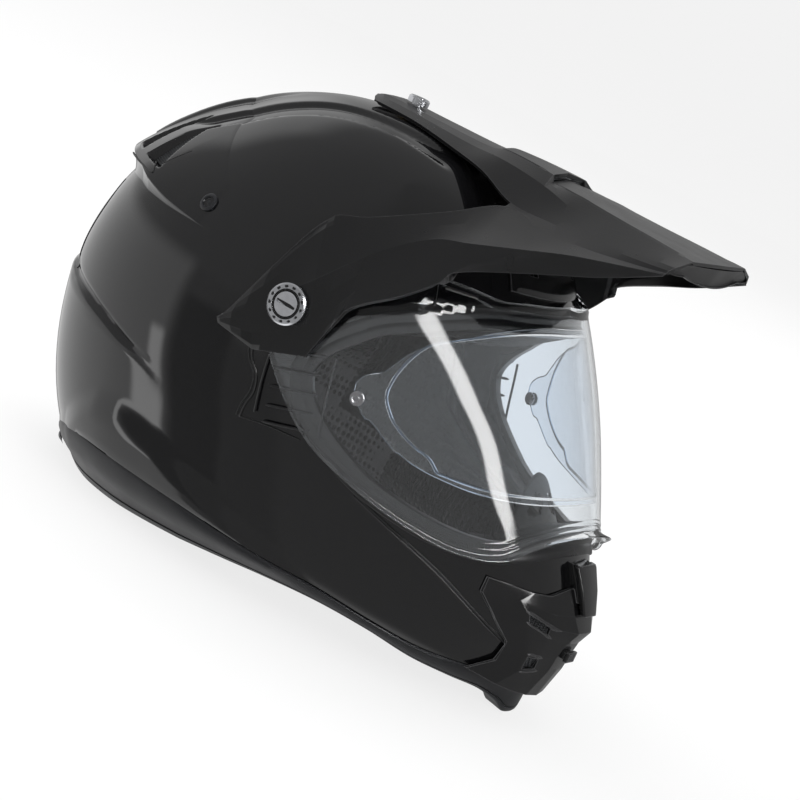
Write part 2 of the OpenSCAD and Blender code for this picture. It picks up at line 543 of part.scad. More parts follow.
// Local frame of a side screw: +Z runs out along the screw, zero where the head seats
module on_side_screw() {
    translate([pivot_x, head_y, pivot_z]) rotate([screw_pitch - 90, 0, -screw_yaw]) children();
}
nut_h = 5;
nut_r = 5.4;
nut_depth = head_y - boss_y0 - 0.8;
module pivot_boss() {
    color([0.3, 0.3, 0.32]) seated()
    difference() {
        side_hole(boss_r, boss_y0, boss_y1);
        on_side_screw() translate([0, 0, -2 * nut_depth]) cylinder(r = shank_r + 0.3, h = 3 * nut_depth);
        on_side_screw() translate([0, 0, -nut_depth - 5]) cylinder(r = nut_r + 0.2, h = nut_h + 5.2, $fn = 6);
    }
}
// Wedge-shaped spacer: its inner face lies on the boss, its outer face follows the arm
module side_washer() {
    color([0.08, 0.08, 0.085]) seated()
    difference() {
        intersection() {
            side_hole(boss_r - 0.4, boss_y1 + 0.15, arm_y + 5);
            on_side_screw() translate([0, 0, -20]) cylinder(r = 20, h = 19.5 - peak_wall);
        }
        on_side_screw() translate([0, 0, -20]) cylinder(r = shank_r + 0.3, h = 40);
    }
}
module side_washer_left() { side_washer(); }
module side_washer_right() { mirror([0, 1, 0]) side_washer(); }
module pivot_boss_left() { pivot_boss(); }
module pivot_boss_right() { mirror([0, 1, 0]) pivot_boss(); }
module side_nut() {
    color([0.65, 0.6, 0.4]) seated()
    on_side_screw() translate([0, 0, -nut_depth]) difference() {
        cylinder(r = nut_r, h = nut_h, $fn = 6);
        translate([0, 0, -1]) cylinder(r = shank_r + running, h = nut_h + 2);
    }
}
module side_nut_left() { side_nut(); }
module side_nut_right() { mirror([0, 1, 0]) side_nut(); }

top_nut_r = 6;
top_z0 = crown_z(top_screw_x) - shell_wall;
top_flange_z = shell_h + 0.3;
plate_z = top_flange_z + 0.4 + 0.9 + peak_wall;
top_head_z = plate_z + 1.2;
module top_nut() {
    color([0.65, 0.6, 0.4]) seated()
    translate([top_screw_x, 0, 0])
    difference() {
        union() {
            translate([0, 0, top_z0 + 1]) cylinder(r = top_nut_r, h = top_flange_z - top_z0 - 0.8);
            translate([0, 0, top_flange_z]) cylinder(r = top_nut_r + 2.5, h = 0.4);
        }
        translate([0, 0, top_z0 - 1]) cylinder(r = shank_r + running, h = 20);
    }
}

// Head of a coin-slot screw with a dished face, a raised middle disc and a ring of pits
module slotted_head(r) {
    difference() {
        rotate_extrude()
        polygon([[0, 0], [r, 0], [r, head_h - 0.8], [r - 0.8, head_h], [r * 0.72, head_h - 0.2], [r * 0.68, head_h - 1],
            [r * 0.62, head_h - 1], [r * 0.58, head_h - 0.1], [0, head_h - 0.1]]);
        translate([-r * 0.5, -0.9, head_h - 1.4]) cube([r, 1.8, 3]);
    }
}
module side_screw() {
    pits = 13;
    color([0.78, 0.78, 0.8]) seated()
    on_side_screw() {
        difference() {
            slotted_head(side_head_r);
            for (k = [0 : pits - 1]) rotate([0, 0, k * 360 / pits])
                translate([side_head_r * 0.83, 0, head_h - 0.9]) cylinder(r = 0.6, h = 3);
        }
        translate([0, 0, -nut_depth + 0.4]) cylinder(r = shank_r, h = nut_depth - 0.4 + 0.2);
    }
}
module side_screw_left() { side_screw(); }
module side_screw_right() { mirror([0, 1, 0]) side_screw(); }
module top_screw() {
    color([0.78, 0.78, 0.8]) seated()
    translate([top_screw_x, 0, top_head_z]) {
        slotted_head(top_head_r);
        translate([0, 0, top_z0 - top_head_z + 1.4]) cylinder(r = shank_r, h = top_head_z - top_z0 - 1.2);
    }
}

// Round plugs behind the temples
PLUG_T = 7.36;
PLUG_PHI = 108;
module side_plugs() {
    color([0.06, 0.06, 0.065]) seated()
    both_sides()
    let (p = off_pt(PLUG_T, PLUG_PHI, 0.35), n = face_normal(PLUG_T, PLUG_PHI))
        translate(p) rotate([0, acos(n.z), atan2(n.y, n.x)])
        difference() {
            cylinder(r = 5, h = 1.4);
            translate([0, 0, 0.8]) cylinder(r = 2.6, h = 2);
        }
}
// Press studs on the shell's inner face that hold the cheek pads
STUD_PHIS = [66, 88, 104];
module snap_studs() {
    color([0.6, 0.6, 0.62]) seated()
    both_sides()
    for (phi = STUD_PHIS)
        let (t = row_of(60 * kz), p = off_pt(t, phi, -shell_wall - 0.5), n = face_normal(t, phi))
            translate(p) rotate([0, acos(-n.z), atan2(-n.y, -n.x)]) cylinder(r = 5, h = 1.7);
}

// Chin strap: the left and right straps run in from their anchors, under the pads, to the buckle
STRAP_X = 6;
ANCHOR_Z = 44;
web_z = 0.3;
anchor_y = side_y(STRAP_X, ANCHOR_Z * kz) - shell_wall - soft_gap;
strap_under = side_y(STRAP_X, 14 * kz);
BUCKLE_Y = 6;
tongue_l = 44;
STRAP_FIXED = 3;
// Middle line of a strap, outer end first: distance from the middle plane and height. Along its
// first points the strap lies on the shell's inner face, and its distance is worked out from it.
function strap_line(end_y, end_z) = [
    [0, ANCHOR_Z * kz + 12],
    [0, ANCHOR_Z * kz],
    [0, 23 * kz],
    [strap_under - 12, 17.2 * kz],
    [strap_under - 22, 13 * kz],
    [strap_under - 32, 10 * kz],
    [end_y + 8, end_z],
    [end_y, end_z]];
function strap_y(line, k, x) =
    k < STRAP_FIXED ? side_y(x, line[k][1]) - shell_wall - soft_gap - web_t / 2 - 0.2 * k : line[k][0];
module webbing(line) {
    n = len(line) - 1;
    at = function (k, x) [strap_y(line, k, x), line[k][1]];
    ring_solid([for (k = [0 : n])
        [for (s = [[-1, -1], [1, -1], [1, 1], [-1, 1]])
            let (x = STRAP_X + s[0] * web_w / 2, d = unit(at(min(k + 1, n), x) - at(max(k - 1, 0), x)))
            let (q = at(k, x) + s[1] * [-d[1], d[0]] * web_t / 2)
            [x, q[0], q[1]]]]);
}
buckle_end = BUCKLE_Y + buckle_l;
strap_z = web_z + buckle_h / 2;
module strap_left() {
    color([0.1, 0.1, 0.1]) seated()
    webbing(strap_line(buckle_end + 0.3, strap_z));
}
module strap_right() {
    color([0.1, 0.1, 0.1]) seated()
    mirror([0, 1, 0]) webbing(strap_line(tongue_l - BUCKLE_Y - 20 + 0.3, strap_z));
}
// Rivets that hold the straps to the shell
ANCHOR_TILT = 12;
module strap_anchors() {
    color([0.55, 0.55, 0.57]) seated()
    both_sides()
    translate([STRAP_X, side_y(STRAP_X, ANCHOR_Z * kz + 7) - shell_wall - soft_gap - web_t - 1.2, ANCHOR_Z * kz + 7])
    rotate([90 - ANCHOR_TILT, 0, 0]) cylinder(r = 5, h = 1);
}
pin_r = 1.6;
pin_y = BUCKLE_Y + 8;
pin_z = web_z + buckle_h - 2.7;
wall = 1.6;
module buckle_body() {
    color([0.35, 0.35, 0.37]) seated()
    difference() {
        translate([STRAP_X - buckle_w / 2, BUCKLE_Y, web_z]) cube([buckle_w, buckle_l, buckle_h]);
        translate([STRAP_X - buckle_w / 2 + wall, BUCKLE_Y - 1, web_z + wall]) cube([buckle_w - 2 * wall, buckle_l - wall + 1, buckle_h]);
        translate([STRAP_X - buckle_w, pin_y, pin_z]) rotate([0, 90, 0]) cylinder(r = pin_r, h = 2 * buckle_w);
    }
}
module buckle_pin() {
    color([0.7, 0.7, 0.72]) seated()
    translate([STRAP_X - buckle_w / 2 + 0.2, pin_y, pin_z]) rotate([0, 90, 0]) cylinder(r = pin_r, h = buckle_w - 0.4);
}
lever_w = buckle_w - 2 * wall - 0.8;
// Release lever over the housing, turning on the pin
module buckle_lever() {
    color([0.6, 0.1, 0.1]) seated()
    difference() {
        union() {
            translate([STRAP_X - lever_w / 2, pin_y, pin_z]) rotate([0, 90, 0]) cylinder(r = pin_r + 1, h = lever_w);
            translate([STRAP_X - lever_w / 2, pin_y, pin_z]) cube([lever_w, buckle_l - 14, pin_r + 1]);
        }
        translate([STRAP_X - buckle_w, pin_y, pin_z]) rotate([0, 90, 0]) cylinder(r = pin_r + running, h = 2 * buckle_w);
    }
}
// Toothed tongue, clicked into the housing
tongue_w = buckle_w - 2 * wall - 3;
module tooth_profile() {
    teeth = 6;
    pitch = 4;
    polygon(concat([[0, 0], [tongue_l, 0], [tongue_l, 1.2]],
        [for (k = [teeth - 1 : -1 : 0]) each [[tongue_l - 2 - pitch * (teeth - 1 - k), 2.4], [tongue_l - 2 - pitch * (teeth - k), 1.4]]],
        [[0, 1.4]]));
}
module strap_tongue() {
    color([0.12, 0.12, 0.12]) seated()
    translate([STRAP_X - tongue_w / 2, BUCKLE_Y + 20 - tongue_l, web_z + wall + 0.2])
    rotate([90, 0, 90]) linear_extrude(tongue_w) tooth_profile();
}

// Clear shield, off the shell's face, with a thick lower rim and a lift tab left of the nose
SHIELD_PHI = 80;
SHIELD_ROWS = 8;
function shield_row(i, phi) =
    mix(row_of(kz * smooth(RIM, abs(phi) / 10)), row_of(kz * smooth(TOP, abs(phi) / 10)), i / SHIELD_ROWS);
function tab(phi) = phi > 8 && phi < 22 ? sin((phi - 8) / 14 * 180) : 0;
module shield() {
    phis = [for (k = [-16 : 16]) k * SHIELD_PHI / 16];
    low = shield_gap + shield_wall;
    color([0.8, 0.86, 0.9, 0.3]) seated()
    difference() {
        grid_solid(
            [for (i = [0 : SHIELD_ROWS]) [for (phi = phis)
                off_pt(shield_row(i, phi), phi, low + (i == 0 ? rim_rise * step((78 - abs(phi)) / 16) + tab_rise * tab(phi) : 0))]],
            [for (i = [0 : SHIELD_ROWS]) [for (phi = phis) off_pt(shield_row(i, phi), phi, shield_gap)]]);
        both_sides() side_hole(ear_r + 0.3, boss_y0 - 2, arm_y);
    }
}
module shield_ear() {
    color([0.75, 0.8, 0.85, 0.5]) seated()
    difference() {
        side_hole(ear_r, ear_y0, ear_y1);
        side_hole(boss_r + running, ear_y0 - 1, ear_y1 + 1);
    }
}
module shield_ear_left() { shield_ear(); }
module shield_ear_right() { mirror([0, 1, 0]) shield_ear(); }

// Anti-fog insert, lying just inside the shield between its two pins
INSERT_LOW = [103, 102, 100, 98, 98, 101, 112];
INSERT_TOP = [179, 178.5, 176, 171, 163, 152, 130];
INSERT_PHI = 57;
function insert_row(u, phi) =
    mix(row_of(kz * smooth(INSERT_LOW, abs(phi) / 10)), row_of(kz * smooth(INSERT_TOP, abs(phi) / 10)), u);
module anti_fog_insert() {
    out = shield_gap - bead_t - 0.5;
    phis = [for (k = [-12 : 12]) k * INSERT_PHI / 12];
    color([0.7, 0.78, 0.86, 0.25]) seated()
    grid_solid(
        [for (u = [0 : 0.25 : 1]) [for (phi = phis) off_pt(insert_row(u, phi), phi, out)]],
        [for (u = [0 : 0.25 : 1]) [for (phi = phis) off_pt(insert_row(u, phi), phi, out - insert_wall)]]);
}
// Soft bead between the insert's edge and the shield
bead_t = 0.6;
module insert_seal() {
    phis = [for (k = [-12 : 12]) k * (INSERT_PHI - 3) / 12];
    ends = [0.25, 0.5, 0.75];
    path = concat([for (phi = phis) [0.05, phi]], [for (u = ends) [u, INSERT_PHI - 3]],
        [for (k = [12 : -1 : -12]) [0.95, k * (INSERT_PHI - 3) / 12]], [for (u = ends) [1 - u, 3 - INSERT_PHI]]);
    at = function (k) path[(k + len(path)) % len(path)];
    pt = function (k) off_pt(insert_row(at(k)[0], at(k)[1]), at(k)[1], shield_gap - 0.25);
    color([0.6, 0.7, 0.8, 0.5]) seated()
    ring_solid([for (k = [0 : len(path) - 1])
        let (n = face_normal(insert_row(at(k)[0], at(k)[1]), at(k)[1]), e = unit(cross(pt(k + 1) - pt(k - 1), n)))
        [for (s = [[0.8, -bead_t], [0.8, 0], [-0.8, 0], [-0.8, -bead_t]]) pt(k) + s[0] * e + s[1] * n]], true);
}
PIN_PHI = 61;
PIN_Z = 119;
module insert_pins() {
    t = row_of(PIN_Z * kz);
    p = off_pt(t, PIN_PHI, shield_gap - 0.3);
    n = face_normal(t, PIN_PHI);
    color([0.85, 0.87, 0.9, 0.6]) seated()
    both_sides()
    translate(p) rotate([0, acos(-n.z), atan2(-n.y, -n.x)]) {
        cylinder(r = insert_pin_r * 0.55, h = 2);
        translate([0, 0, 1.2]) cylinder(r = insert_pin_r, h = 1);
    }
}

// Peak: long lines from back to front, middle line first, then outwards to the lower edge.
// The first four carry the top strap, the last three the side arm, with the side window between.
// Heights count from the plate under the top screw.
PEAK_LINES = [
    [[-51, 0, -2.2], [-42, 0, -0.2], [-14, 0, 0], [21, 0, 0.6], [34, 0, 4.4], [64, 0, 5], [88, 0, 1.6], [112, 0, 0.6], [137, 0, -0.2], [162, 0, -1]],
    [[-50, 10, -2.4], [-42, 11, -0.3], [-14, 12, -0.1], [22, 14, 0.3], [36, 16, 3.2], [66, 22, 3.2], [88, 26, 0.2], [112, 30, -0.7], [136, 34.5, -1], [160, 38.8, -1.6]],
    [[-47, 18, -3.2], [-38, 19, -1.6], [-14, 21, -1.6], [18, 25, -2], [42, 30, -0.8], [69, 34, -2.6], [92, 39, -6.4], [116, 47, -8], [137, 53, -8.4], [158.6, 55, -6.4]],
    [[-43, 25, -4.2], [-33, 27, -3.9], [-12, 29, -4.2], [14, 34, -6.6], [38, 41, -9.4], [63, 50, -16], [90, 54, -15], [115, 57, -13.2], [137, 59.2, -11.2], [157.6, 58.8, -8.6]],
    [[-19, 1.6, -121.1], [-7, 0, -89.2], [4, 113.5, -56.7], [21, 104.5, -47.3], [48, 85.5, -30.5], [64, 57, -17.8], [91.5, 64, -18.8], [115, 65, -17.1], [137, 63, -13.8], [157.4, 60, -10.2]],
    [[-21.5, 2, -123.5], [-4, 0, -108], [18, 0, -84], [36, 112.5, -59.6], [55, 101.5, -43], [73, 97.5, -36.5], [94, 89, -29], [115, 80, -21.6], [137, 69.5, -15.8], [157, 61, -11]],
    [[-19.5, 1.8, -126.2], [2.4, 0, -129.8], [31, 0, -119.8], [39, 0, -91.2], [60, 118.5, -72.2], [71.5, 110.8, -59.6], [77, 104.5, -50.6], [106, 83.5, -36.6], [131, 72.5, -25.8], [157, 62, -12]]
];
WINDOW_ROWS = 5;
// Points of each arm line that lie on the flat pad round the side screw
PAD_POINTS = [2, 3, 4];
function pad_y(x, z) = arm_y - (x - pivot_x) * tan(screw_yaw) - (z - pivot_z) * tan(screw_pitch);
function on_pad(i, k) = abs(k) > 3 && i < PAD_POINTS[abs(k) - 4];
// The drawn point at its true size; on the pad its second number counts from the pad's plane
function peak_pt(i, k) =
    let (p = PEAK_LINES[abs(k)][i], x = p.x * kx, z = plate_z + p.z * (abs(k) > 3 && i < WINDOW_ROWS ? kz : 1))
    [x, sign(k) * (on_pad(i, k) ? pad_y(x, z) + p.y : p.y * ky), z];
function split(i, a, b) = i >= 0 && i < WINDOW_ROWS && min(a, b) == 3 && max(a, b) == 4;
function peak_next(i, k, d) =
    let (q = min(max(k + d, -6), 6)) split(i, abs(k), abs(q)) || split(i - 1, abs(k), abs(q)) ? k : q;
function peak_normal(i, k) =
    let (across = peak_pt(i, peak_next(i, k, 1)) - peak_pt(i, peak_next(i, k, -1)))
    let (along = peak_pt(min(i + 1, 9), k) - peak_pt(max(i - 1, 0), k))
    on_pad(i, k) ? unit([tan(screw_yaw), sign(k), tan(screw_pitch)]) : unit(cross(along, across));
module peak() {
    grid = function (off) [for (i = [0 : 9]) [for (k = [-6 : 6]) peak_pt(i, k) + off * peak_normal(i, k)]];
    vent = function (i, j) i == 5 && (j == 5 || j == 6);
    color([0.09, 0.09, 0.095]) seated()
    difference() {
        grid_solid(grid(0), grid(-peak_wall), function (i, j) !(i < WINDOW_ROWS && (j == 2 || j == 9)) && !vent(i, j),
            turn = function (i, j) j < 6);
        both_sides() on_side_screw() translate([0, 0, -6]) cylinder(r = shank_r + 0.5, h = 8);
        translate([top_screw_x, 0, plate_z - 8]) {
            translate([-top_slot_l / 2 + 2.5, -shank_r - 0.3, 0]) cube([top_slot_l - 8, 2 * shank_r + 0.6, 16]);
            for (s = [-1, 1]) translate([s * (top_slot_l / 2 - 4) - 1.5, 0, 0]) cylinder(r = shank_r + 0.3, h = 16);
        }
    }
}
module peak_meshes() {
    color([0.2, 0.2, 0.21]) seated()
    both_sides()
    grid_solid(
        [for (i = [5, 6]) [for (f = [0.03, 0.97]) mix(peak_pt(i, 0), peak_pt(i, 1), f) + [i == 5 ? 0.5 : -0.5, 0, -1.2]]],
        [for (i = [5, 6]) [for (f = [0.03, 0.97]) mix(peak_pt(i, 0), peak_pt(i, 1), f) + [i == 5 ? 0.5 : -0.5, 0, -2]]]);
}

outer_shell();
base_trim();
impact_liner();
comfort_liner();
cheek_pad_left();
cheek_pad_right();
neck_roll();
chin_foam();
chin_curtain();
eye_port_gasket();
breath_guard();
chin_vent_housing();
chin_vent_meshes();
chin_flap();
chin_shutter();
brow_vent_cover();
brow_vent_slider();
rear_exhaust();
exhaust_meshes();
rear_fin();
pivot_boss_left();
pivot_boss_right();
side_nut_left();
side_nut_right();
side_washer_left();
side_washer_right();
top_nut();
side_plugs();
snap_studs();
strap_anchors();
strap_left();
strap_right();
buckle_body();
buckle_pin();
buckle_lever();
strap_tongue();
shield();
shield_ear_left();
shield_ear_right();
anti_fog_insert();
insert_seal();
insert_pins();
peak();
peak_meshes();
side_screw_left();
side_screw_right();
top_screw();
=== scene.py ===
"""Enduro helmet: the finished look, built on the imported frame."""
import math

import bpy
import numpy as np
from mathutils import Matrix, Vector


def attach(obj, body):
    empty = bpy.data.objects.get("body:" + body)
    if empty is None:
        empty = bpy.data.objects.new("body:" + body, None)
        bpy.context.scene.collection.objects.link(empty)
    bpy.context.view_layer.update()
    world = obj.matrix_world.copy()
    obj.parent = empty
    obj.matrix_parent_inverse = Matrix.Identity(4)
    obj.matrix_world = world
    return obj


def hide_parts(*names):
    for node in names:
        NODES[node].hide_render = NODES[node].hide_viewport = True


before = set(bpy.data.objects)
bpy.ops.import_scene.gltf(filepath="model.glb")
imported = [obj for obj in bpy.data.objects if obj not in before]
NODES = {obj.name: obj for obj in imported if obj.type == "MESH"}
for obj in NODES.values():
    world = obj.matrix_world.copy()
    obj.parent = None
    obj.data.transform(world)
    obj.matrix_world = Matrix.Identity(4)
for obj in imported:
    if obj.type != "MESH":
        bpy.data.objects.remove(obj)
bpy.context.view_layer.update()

# Lengths below are millimetres in the frame that the helmet is drawn in. seat() pitches them onto
# the rim that the helmet stands on and turns them into metres.
PITCH = math.radians(2.2)
HEEL = 126.0
MM = 0.001


def turn(v):
    """A direction of the drawn frame, as it lies once the helmet is seated."""
    v = np.asarray(v, float)
    c, s = math.cos(PITCH), math.sin(PITCH)
    return np.stack([v[..., 0] * c - v[..., 2] * s, v[..., 1], v[..., 0] * s + v[..., 2] * c], -1)


def seat(points):
    """Points of the drawn frame in millimetres, seated, in metres."""
    shift = np.array([HEEL, 0, 0])
    return (turn(np.asarray(points, float) + shift) - shift) * MM


# Camera: the photograph's view, with the helmet pitched nose down in the picture
LOOK_AT = np.array([31.0, 0, 105.0])
VIEW_TURN = math.radians(26)
VIEW_PITCH = math.radians(27)
VIEW_DISTANCE = 1500.0
PIXELS_PER_MM = 1.88
PICTURE_PIXELS = 800
SENSOR_WIDTH = 36
CLIP = (0.05, 60)


def make_camera():
    """The camera, placed by its turn round the helmet's side and its pitch along the helmet."""
    ahead = np.array([math.cos(VIEW_PITCH), 0, math.sin(VIEW_PITCH)])
    up = np.array([-math.sin(VIEW_PITCH), 0, math.cos(VIEW_PITCH)])
    side = np.array([0, 1.0, 0])
    right = math.cos(VIEW_TURN) * ahead + math.sin(VIEW_TURN) * side
    back = math.sin(VIEW_TURN) * ahead - math.cos(VIEW_TURN) * side
    data = bpy.data.cameras.new("camera")
    data.sensor_width = SENSOR_WIDTH
    data.lens = PIXELS_PER_MM * VIEW_DISTANCE * SENSOR_WIDTH / PICTURE_PIXELS
    data.clip_start, data.clip_end = CLIP
    camera = bpy.data.objects.new("camera", data)
    bpy.context.scene.collection.objects.link(camera)
    place = Matrix([[*row, 0] for row in zip(turn(right), turn(up), turn(back))] + [[0, 0, 0, 1]])
    place.translation = Vector(seat(LOOK_AT + VIEW_DISTANCE * back))
    camera.matrix_world = place
    bpy.context.scene.camera = camera


make_camera()

# Shape of the shell: level cuts from base to crown, as height, rear, front, half width, widest
# place, squareness behind and squareness in front
STATIONS = np.array([
    [0, 126, 161, 88, -10, 2.2, 1.8],
    [18, 140, 169, 99, -12, 2.2, 1.8],
    [38, 151, 174, 108, -14, 2.2, 1.8],
    [62, 159, 168, 115, -16, 2.2, 1.9],
    [85, 163, 155, 120, -18, 2.2, 2],
    [110, 165, 142, 122, -20, 2.2, 2],
    [135, 161, 128, 121, -20, 2.2, 2],
    [160, 152, 112, 116, -20, 2.2, 2],
    [185, 137, 94, 106, -20, 2.1, 2],
    [207, 118, 75, 91, -20, 2, 2],
    [225, 95, 52, 72, -20, 2, 2],
    [237.5, 69, 27, 50, -20, 2, 2],
    [243.2, 39, 0, 21, -20, 2, 2],
])
LAST = len(STATIONS) - 1
TOP_Z = 244.5
APEX = np.array([-20.0, 0, TOP_Z])
# Edge heights, one value each ten degrees from the nose to the nape
SEAM = [14, 14, 13, 11, 11, 14, 18, 20, 22, 24, 25, 25.5, 25, 23, 19, 13, 10, 9, 9]
BASE = [0, 4, 9.5, 11, 12.5, 16.5, 18, 16, 12, 8, 5, 2.5, 1, 0, 0, 0, 0, 0, 0]
SILL = [86, 84.5, 80, 74.5, 73, 76, 84, 102, 102] + [100] * 10
BROW = [180, 179.5, 178, 176, 171, 163.5, 153.5, 134, 138] + [140] * 10
RIM = [88, 86, 80, 70.5, 68, 72, 80, 93, 123]
SHIELD_TOP = [188, 187, 186, 184, 185, 184, 176, 165, 156]
# Crease lines of the jaw flare and of the rear body, angle from the nose against height
FLARE_EDGE = [[58, 12], [71, 29], [82, 41], [96, 52], [108, 57.5], [115, 55], [122, 45], [132, 30],
              [150, 16], [180, 8]]
BODY_EDGE = [[64, 30], [71, 40], [80, 50], [89, 62], [98, 77], [102, 82], [110, 86], [118, 90],
             [128, 93.5], [141, 96], [150, 100], [180, 106]]
SHELL_WALL = 4.2
PORT_BEND, PORT_PHI = 62, 72


def smooth(table, u):
    """Smooth curve through the rows of a table, at places u counted in rows."""
    table = np.asarray(table, float)
    n = len(table) - 1
    v = np.clip(u, 0, n)
    i = np.minimum(np.floor(v).astype(int), n - 1)
    f, first, last = v - i, i == 0, i == n - 1
    if table.ndim > 1:
        f, first, last = f[..., None], first[..., None], last[..., None]
    b, c = table[i], table[i + 1]
    a = np.where(first, 2 * b - c, table[np.maximum(i - 1, 0)])
    d = np.where(last, 2 * c - b, table[np.minimum(i + 2, n)])
    return 0.5 * (2 * b + (c - a) * f + (2 * a - 5 * b + 4 * c - d) * f**2 + (3 * b - a - 3 * c + d) * f**3)


def lookup(table, x):
    """Straight-line reading of a table of pairs."""
    table = np.asarray(table, float)
    return np.interp(x, table[:, 0], table[:, 1])


def step(x):
    """Soft step from 0 to 1 as x goes from 0 to 1."""
    v = np.clip(x, 0, 1)
    return v * v * (3 - 2 * v)


def unit(v):
    """A direction at length 1."""
    return v / np.maximum(np.linalg.norm(v, axis=-1, keepdims=True), 1e-9)


def around(phi):
    """Angle from the nose without its sign, 0 to 180."""
    return np.abs((np.asarray(phi, float) + 180) % 360 - 180)


def middles(v):
    """Distances from zero of the middles between values."""
    return np.abs(0.5 * (v[1:] + v[:-1]))


def height(table, phi):
    """Height of one of the edge tables at an angle."""
    return smooth(table, around(phi) / 10)


def row_of(z):
    """Row value of the shell's stations at a height."""
    return np.interp(z, STATIONS[:, 0], np.arange(LAST + 1))


def face(t, phi):
    """Point of the shell's face at row t, angle phi from the nose."""
    t, phi = np.broadcast_arrays(t, phi)
    s = smooth(STATIONS, t)
    c, q = np.cos(np.radians(phi)), np.sin(np.radians(phi))
    ahead = c >= 0
    e = 2 / np.where(ahead, s[..., 6], s[..., 5])
    reach = np.where(ahead, s[..., 2] - s[..., 4], s[..., 4] + s[..., 1])
    x = s[..., 4] + reach * np.sign(c) * np.abs(c) ** e
    y = s[..., 3] * np.sign(q) * np.abs(q) ** e
    return np.stack([x, y, s[..., 0]], -1)


def normal(t, phi):
    """Direction out of the shell's face, from small steps along it."""
    t, phi = np.broadcast_arrays(t, phi)
    high = np.minimum(t + 0.05, LAST)
    return unit(np.cross(face(t, phi + 1.5) - face(t, phi - 1.5), face(high, phi) - face(high - 0.1, phi)))


def off(t, phi, distance):
    """Point off the shell's face at a row and an angle."""
    return face(t, phi) + normal(t, phi) * np.asarray(distance, float)[..., None]


def at(z, phi, distance=0.0):
    """Point off the shell's face at a height and an angle."""
    return off(row_of(z), phi, distance)


def level(z, phi, distance):
    """Point off the face along the level, so that its height stays z."""
    z, phi = np.broadcast_arrays(z, phi)
    p, n = face(row_of(z), phi), normal(row_of(z), phi)
    h = unit(n[..., :2])
    return np.stack([p[..., 0] + distance * h[..., 0], p[..., 1] + distance * h[..., 1], z], -1)


def side_y(x, z):
    """Half width of the shell at a place x, z."""
    s = smooth(STATIONS, row_of(z))
    e = np.where(x > s[..., 4], s[..., 6], s[..., 5])
    v = np.abs(x - s[..., 4]) / np.where(x > s[..., 4], s[..., 2] - s[..., 4], s[..., 4] + s[..., 1])
    return s[..., 3] * np.maximum(1 - v**e, 0) ** (1 / e)


def front_at(y, z):
    """Front of the shell at a distance from the middle plane and a height."""
    s = smooth(STATIONS, row_of(z))
    e = s[..., 6]
    return s[..., 4] + (s[..., 2] - s[..., 4]) * np.maximum(1 - (np.abs(y) / s[..., 3]) ** e, 0) ** (1 / e)


def nose_x(z):
    """Front of the shell in the middle plane at a height."""
    return float(smooth(STATIONS, row_of(z))[2])


def relief(p, phi):
    """Moulded relief of the shell's face: crown channels, spine, rear body and jaw flare."""
    a = around(phi)
    x, y, z = p[..., 0], np.abs(p[..., 1]), p[..., 2]
    mid = 63 - 0.2 * (x + 108)
    fade = step((24.4 - x) / 20) * step((z - 186) / 14)
    channel = -2.6 * step((9.5 - np.abs(y - mid)) / 4) * fade
    edge = lookup(BODY_EDGE, a)
    body = 1.8 * step((edge - z) / 3) * step((a - 98) / 16) * (1 - 0.8 * step((a - 150) / 18))
    groove = -1.5 * np.exp(-((z - edge - 1.2) / (0.9 + 2 * step((a - 106) / 40))) ** 2) * step((a - 101) / 10)
    edge = lookup(FLARE_EDGE, a)
    flare = 3 * np.clip((edge - z) / 12, 0, 1) * step((a - 58) / 8)
    spine = 3.4 * step((25 - y) / 5) * step((-x - 66) / 55) * step((z - 147) / 12)
    return channel + body + groove + flare + spine


# Meshes
def grid_faces(outer, inner, keep=None, wrap=False):
    """Points and faces of the closed wall between two grids, over the cells that keep marks."""
    n, m = outer.shape[:2]
    cols = m if wrap else m - 1
    kept = np.ones((n - 1, cols), bool) if keep is None else keep
    index = np.arange(n * m).reshape(n, m)
    i, j = np.nonzero(kept)
    k = (j + 1) % m
    a, b, c, d = index[i, j], index[i, k], index[i + 1, k], index[i + 1, j]
    h = n * m
    faces = [np.stack([a, b, c, d], -1), np.stack([d + h, c + h, b + h, a + h], -1)]
    padded = np.zeros((n + 1, cols + 2), bool)
    padded[1:-1, 1:-1] = kept
    if wrap:
        padded[1:-1, 0], padded[1:-1, -1] = kept[:, -1], kept[:, 0]
    below, above = padded[i, j + 1], padded[i + 2, j + 1]
    left, right = padded[i + 1, j], padded[i + 1, j + 2]
    for free, p, q in ((~below, a, b), (~right, b, c), (~above, c, d), (~left, d, a)):
        faces.append(np.stack([q, p, p + h, q + h], -1)[free])
    return np.concatenate([outer.reshape(-1, 3), inner.reshape(-1, 3)]), np.concatenate(faces)


def cell_middles(values):
    """Values of a grid at the middles of its cells."""
    return 0.25 * (values[1:, 1:] + values[:-1, 1:] + values[1:, :-1] + values[:-1, :-1])


def ring_faces(rings, closed=True):
    """Points and faces of a bar through rings of points; closed joins the last to the first."""
    rings = np.asarray(rings, float)
    n, m = rings.shape[:2]
    index = np.arange(n * m).reshape(n, m)
    count = n if closed else n - 1
    i, k = np.meshgrid(np.arange(count), np.arange(m), indexing="ij")
    a, b = index[i, k], index[i, (k + 1) % m]
    c, d = index[(i + 1) % n, (k + 1) % m], index[(i + 1) % n, k]
    faces = np.stack([a, b, c, d], -1).reshape(-1, 4).tolist()
    if not closed:
        faces += [index[0, ::-1].tolist(), index[-1].tolist()]
    return rings.reshape(-1, 3), faces


def bar_through(curves, closed=False, flip=False):
    """Points and faces of a bar through the corner curves of its section."""
    rings = np.array(curves).transpose(1, 0, 2)
    return ring_faces(rings[:, ::-1] if flip else rings, closed)


def merged(*parts):
    """Several meshes as one."""
    points, faces, count = [], [], 0
    for p, f in parts:
        points.append(np.asarray(p, float))
        faces += [[v + count for v in g] for g in f]
        count += len(p)
    return np.concatenate(points), faces


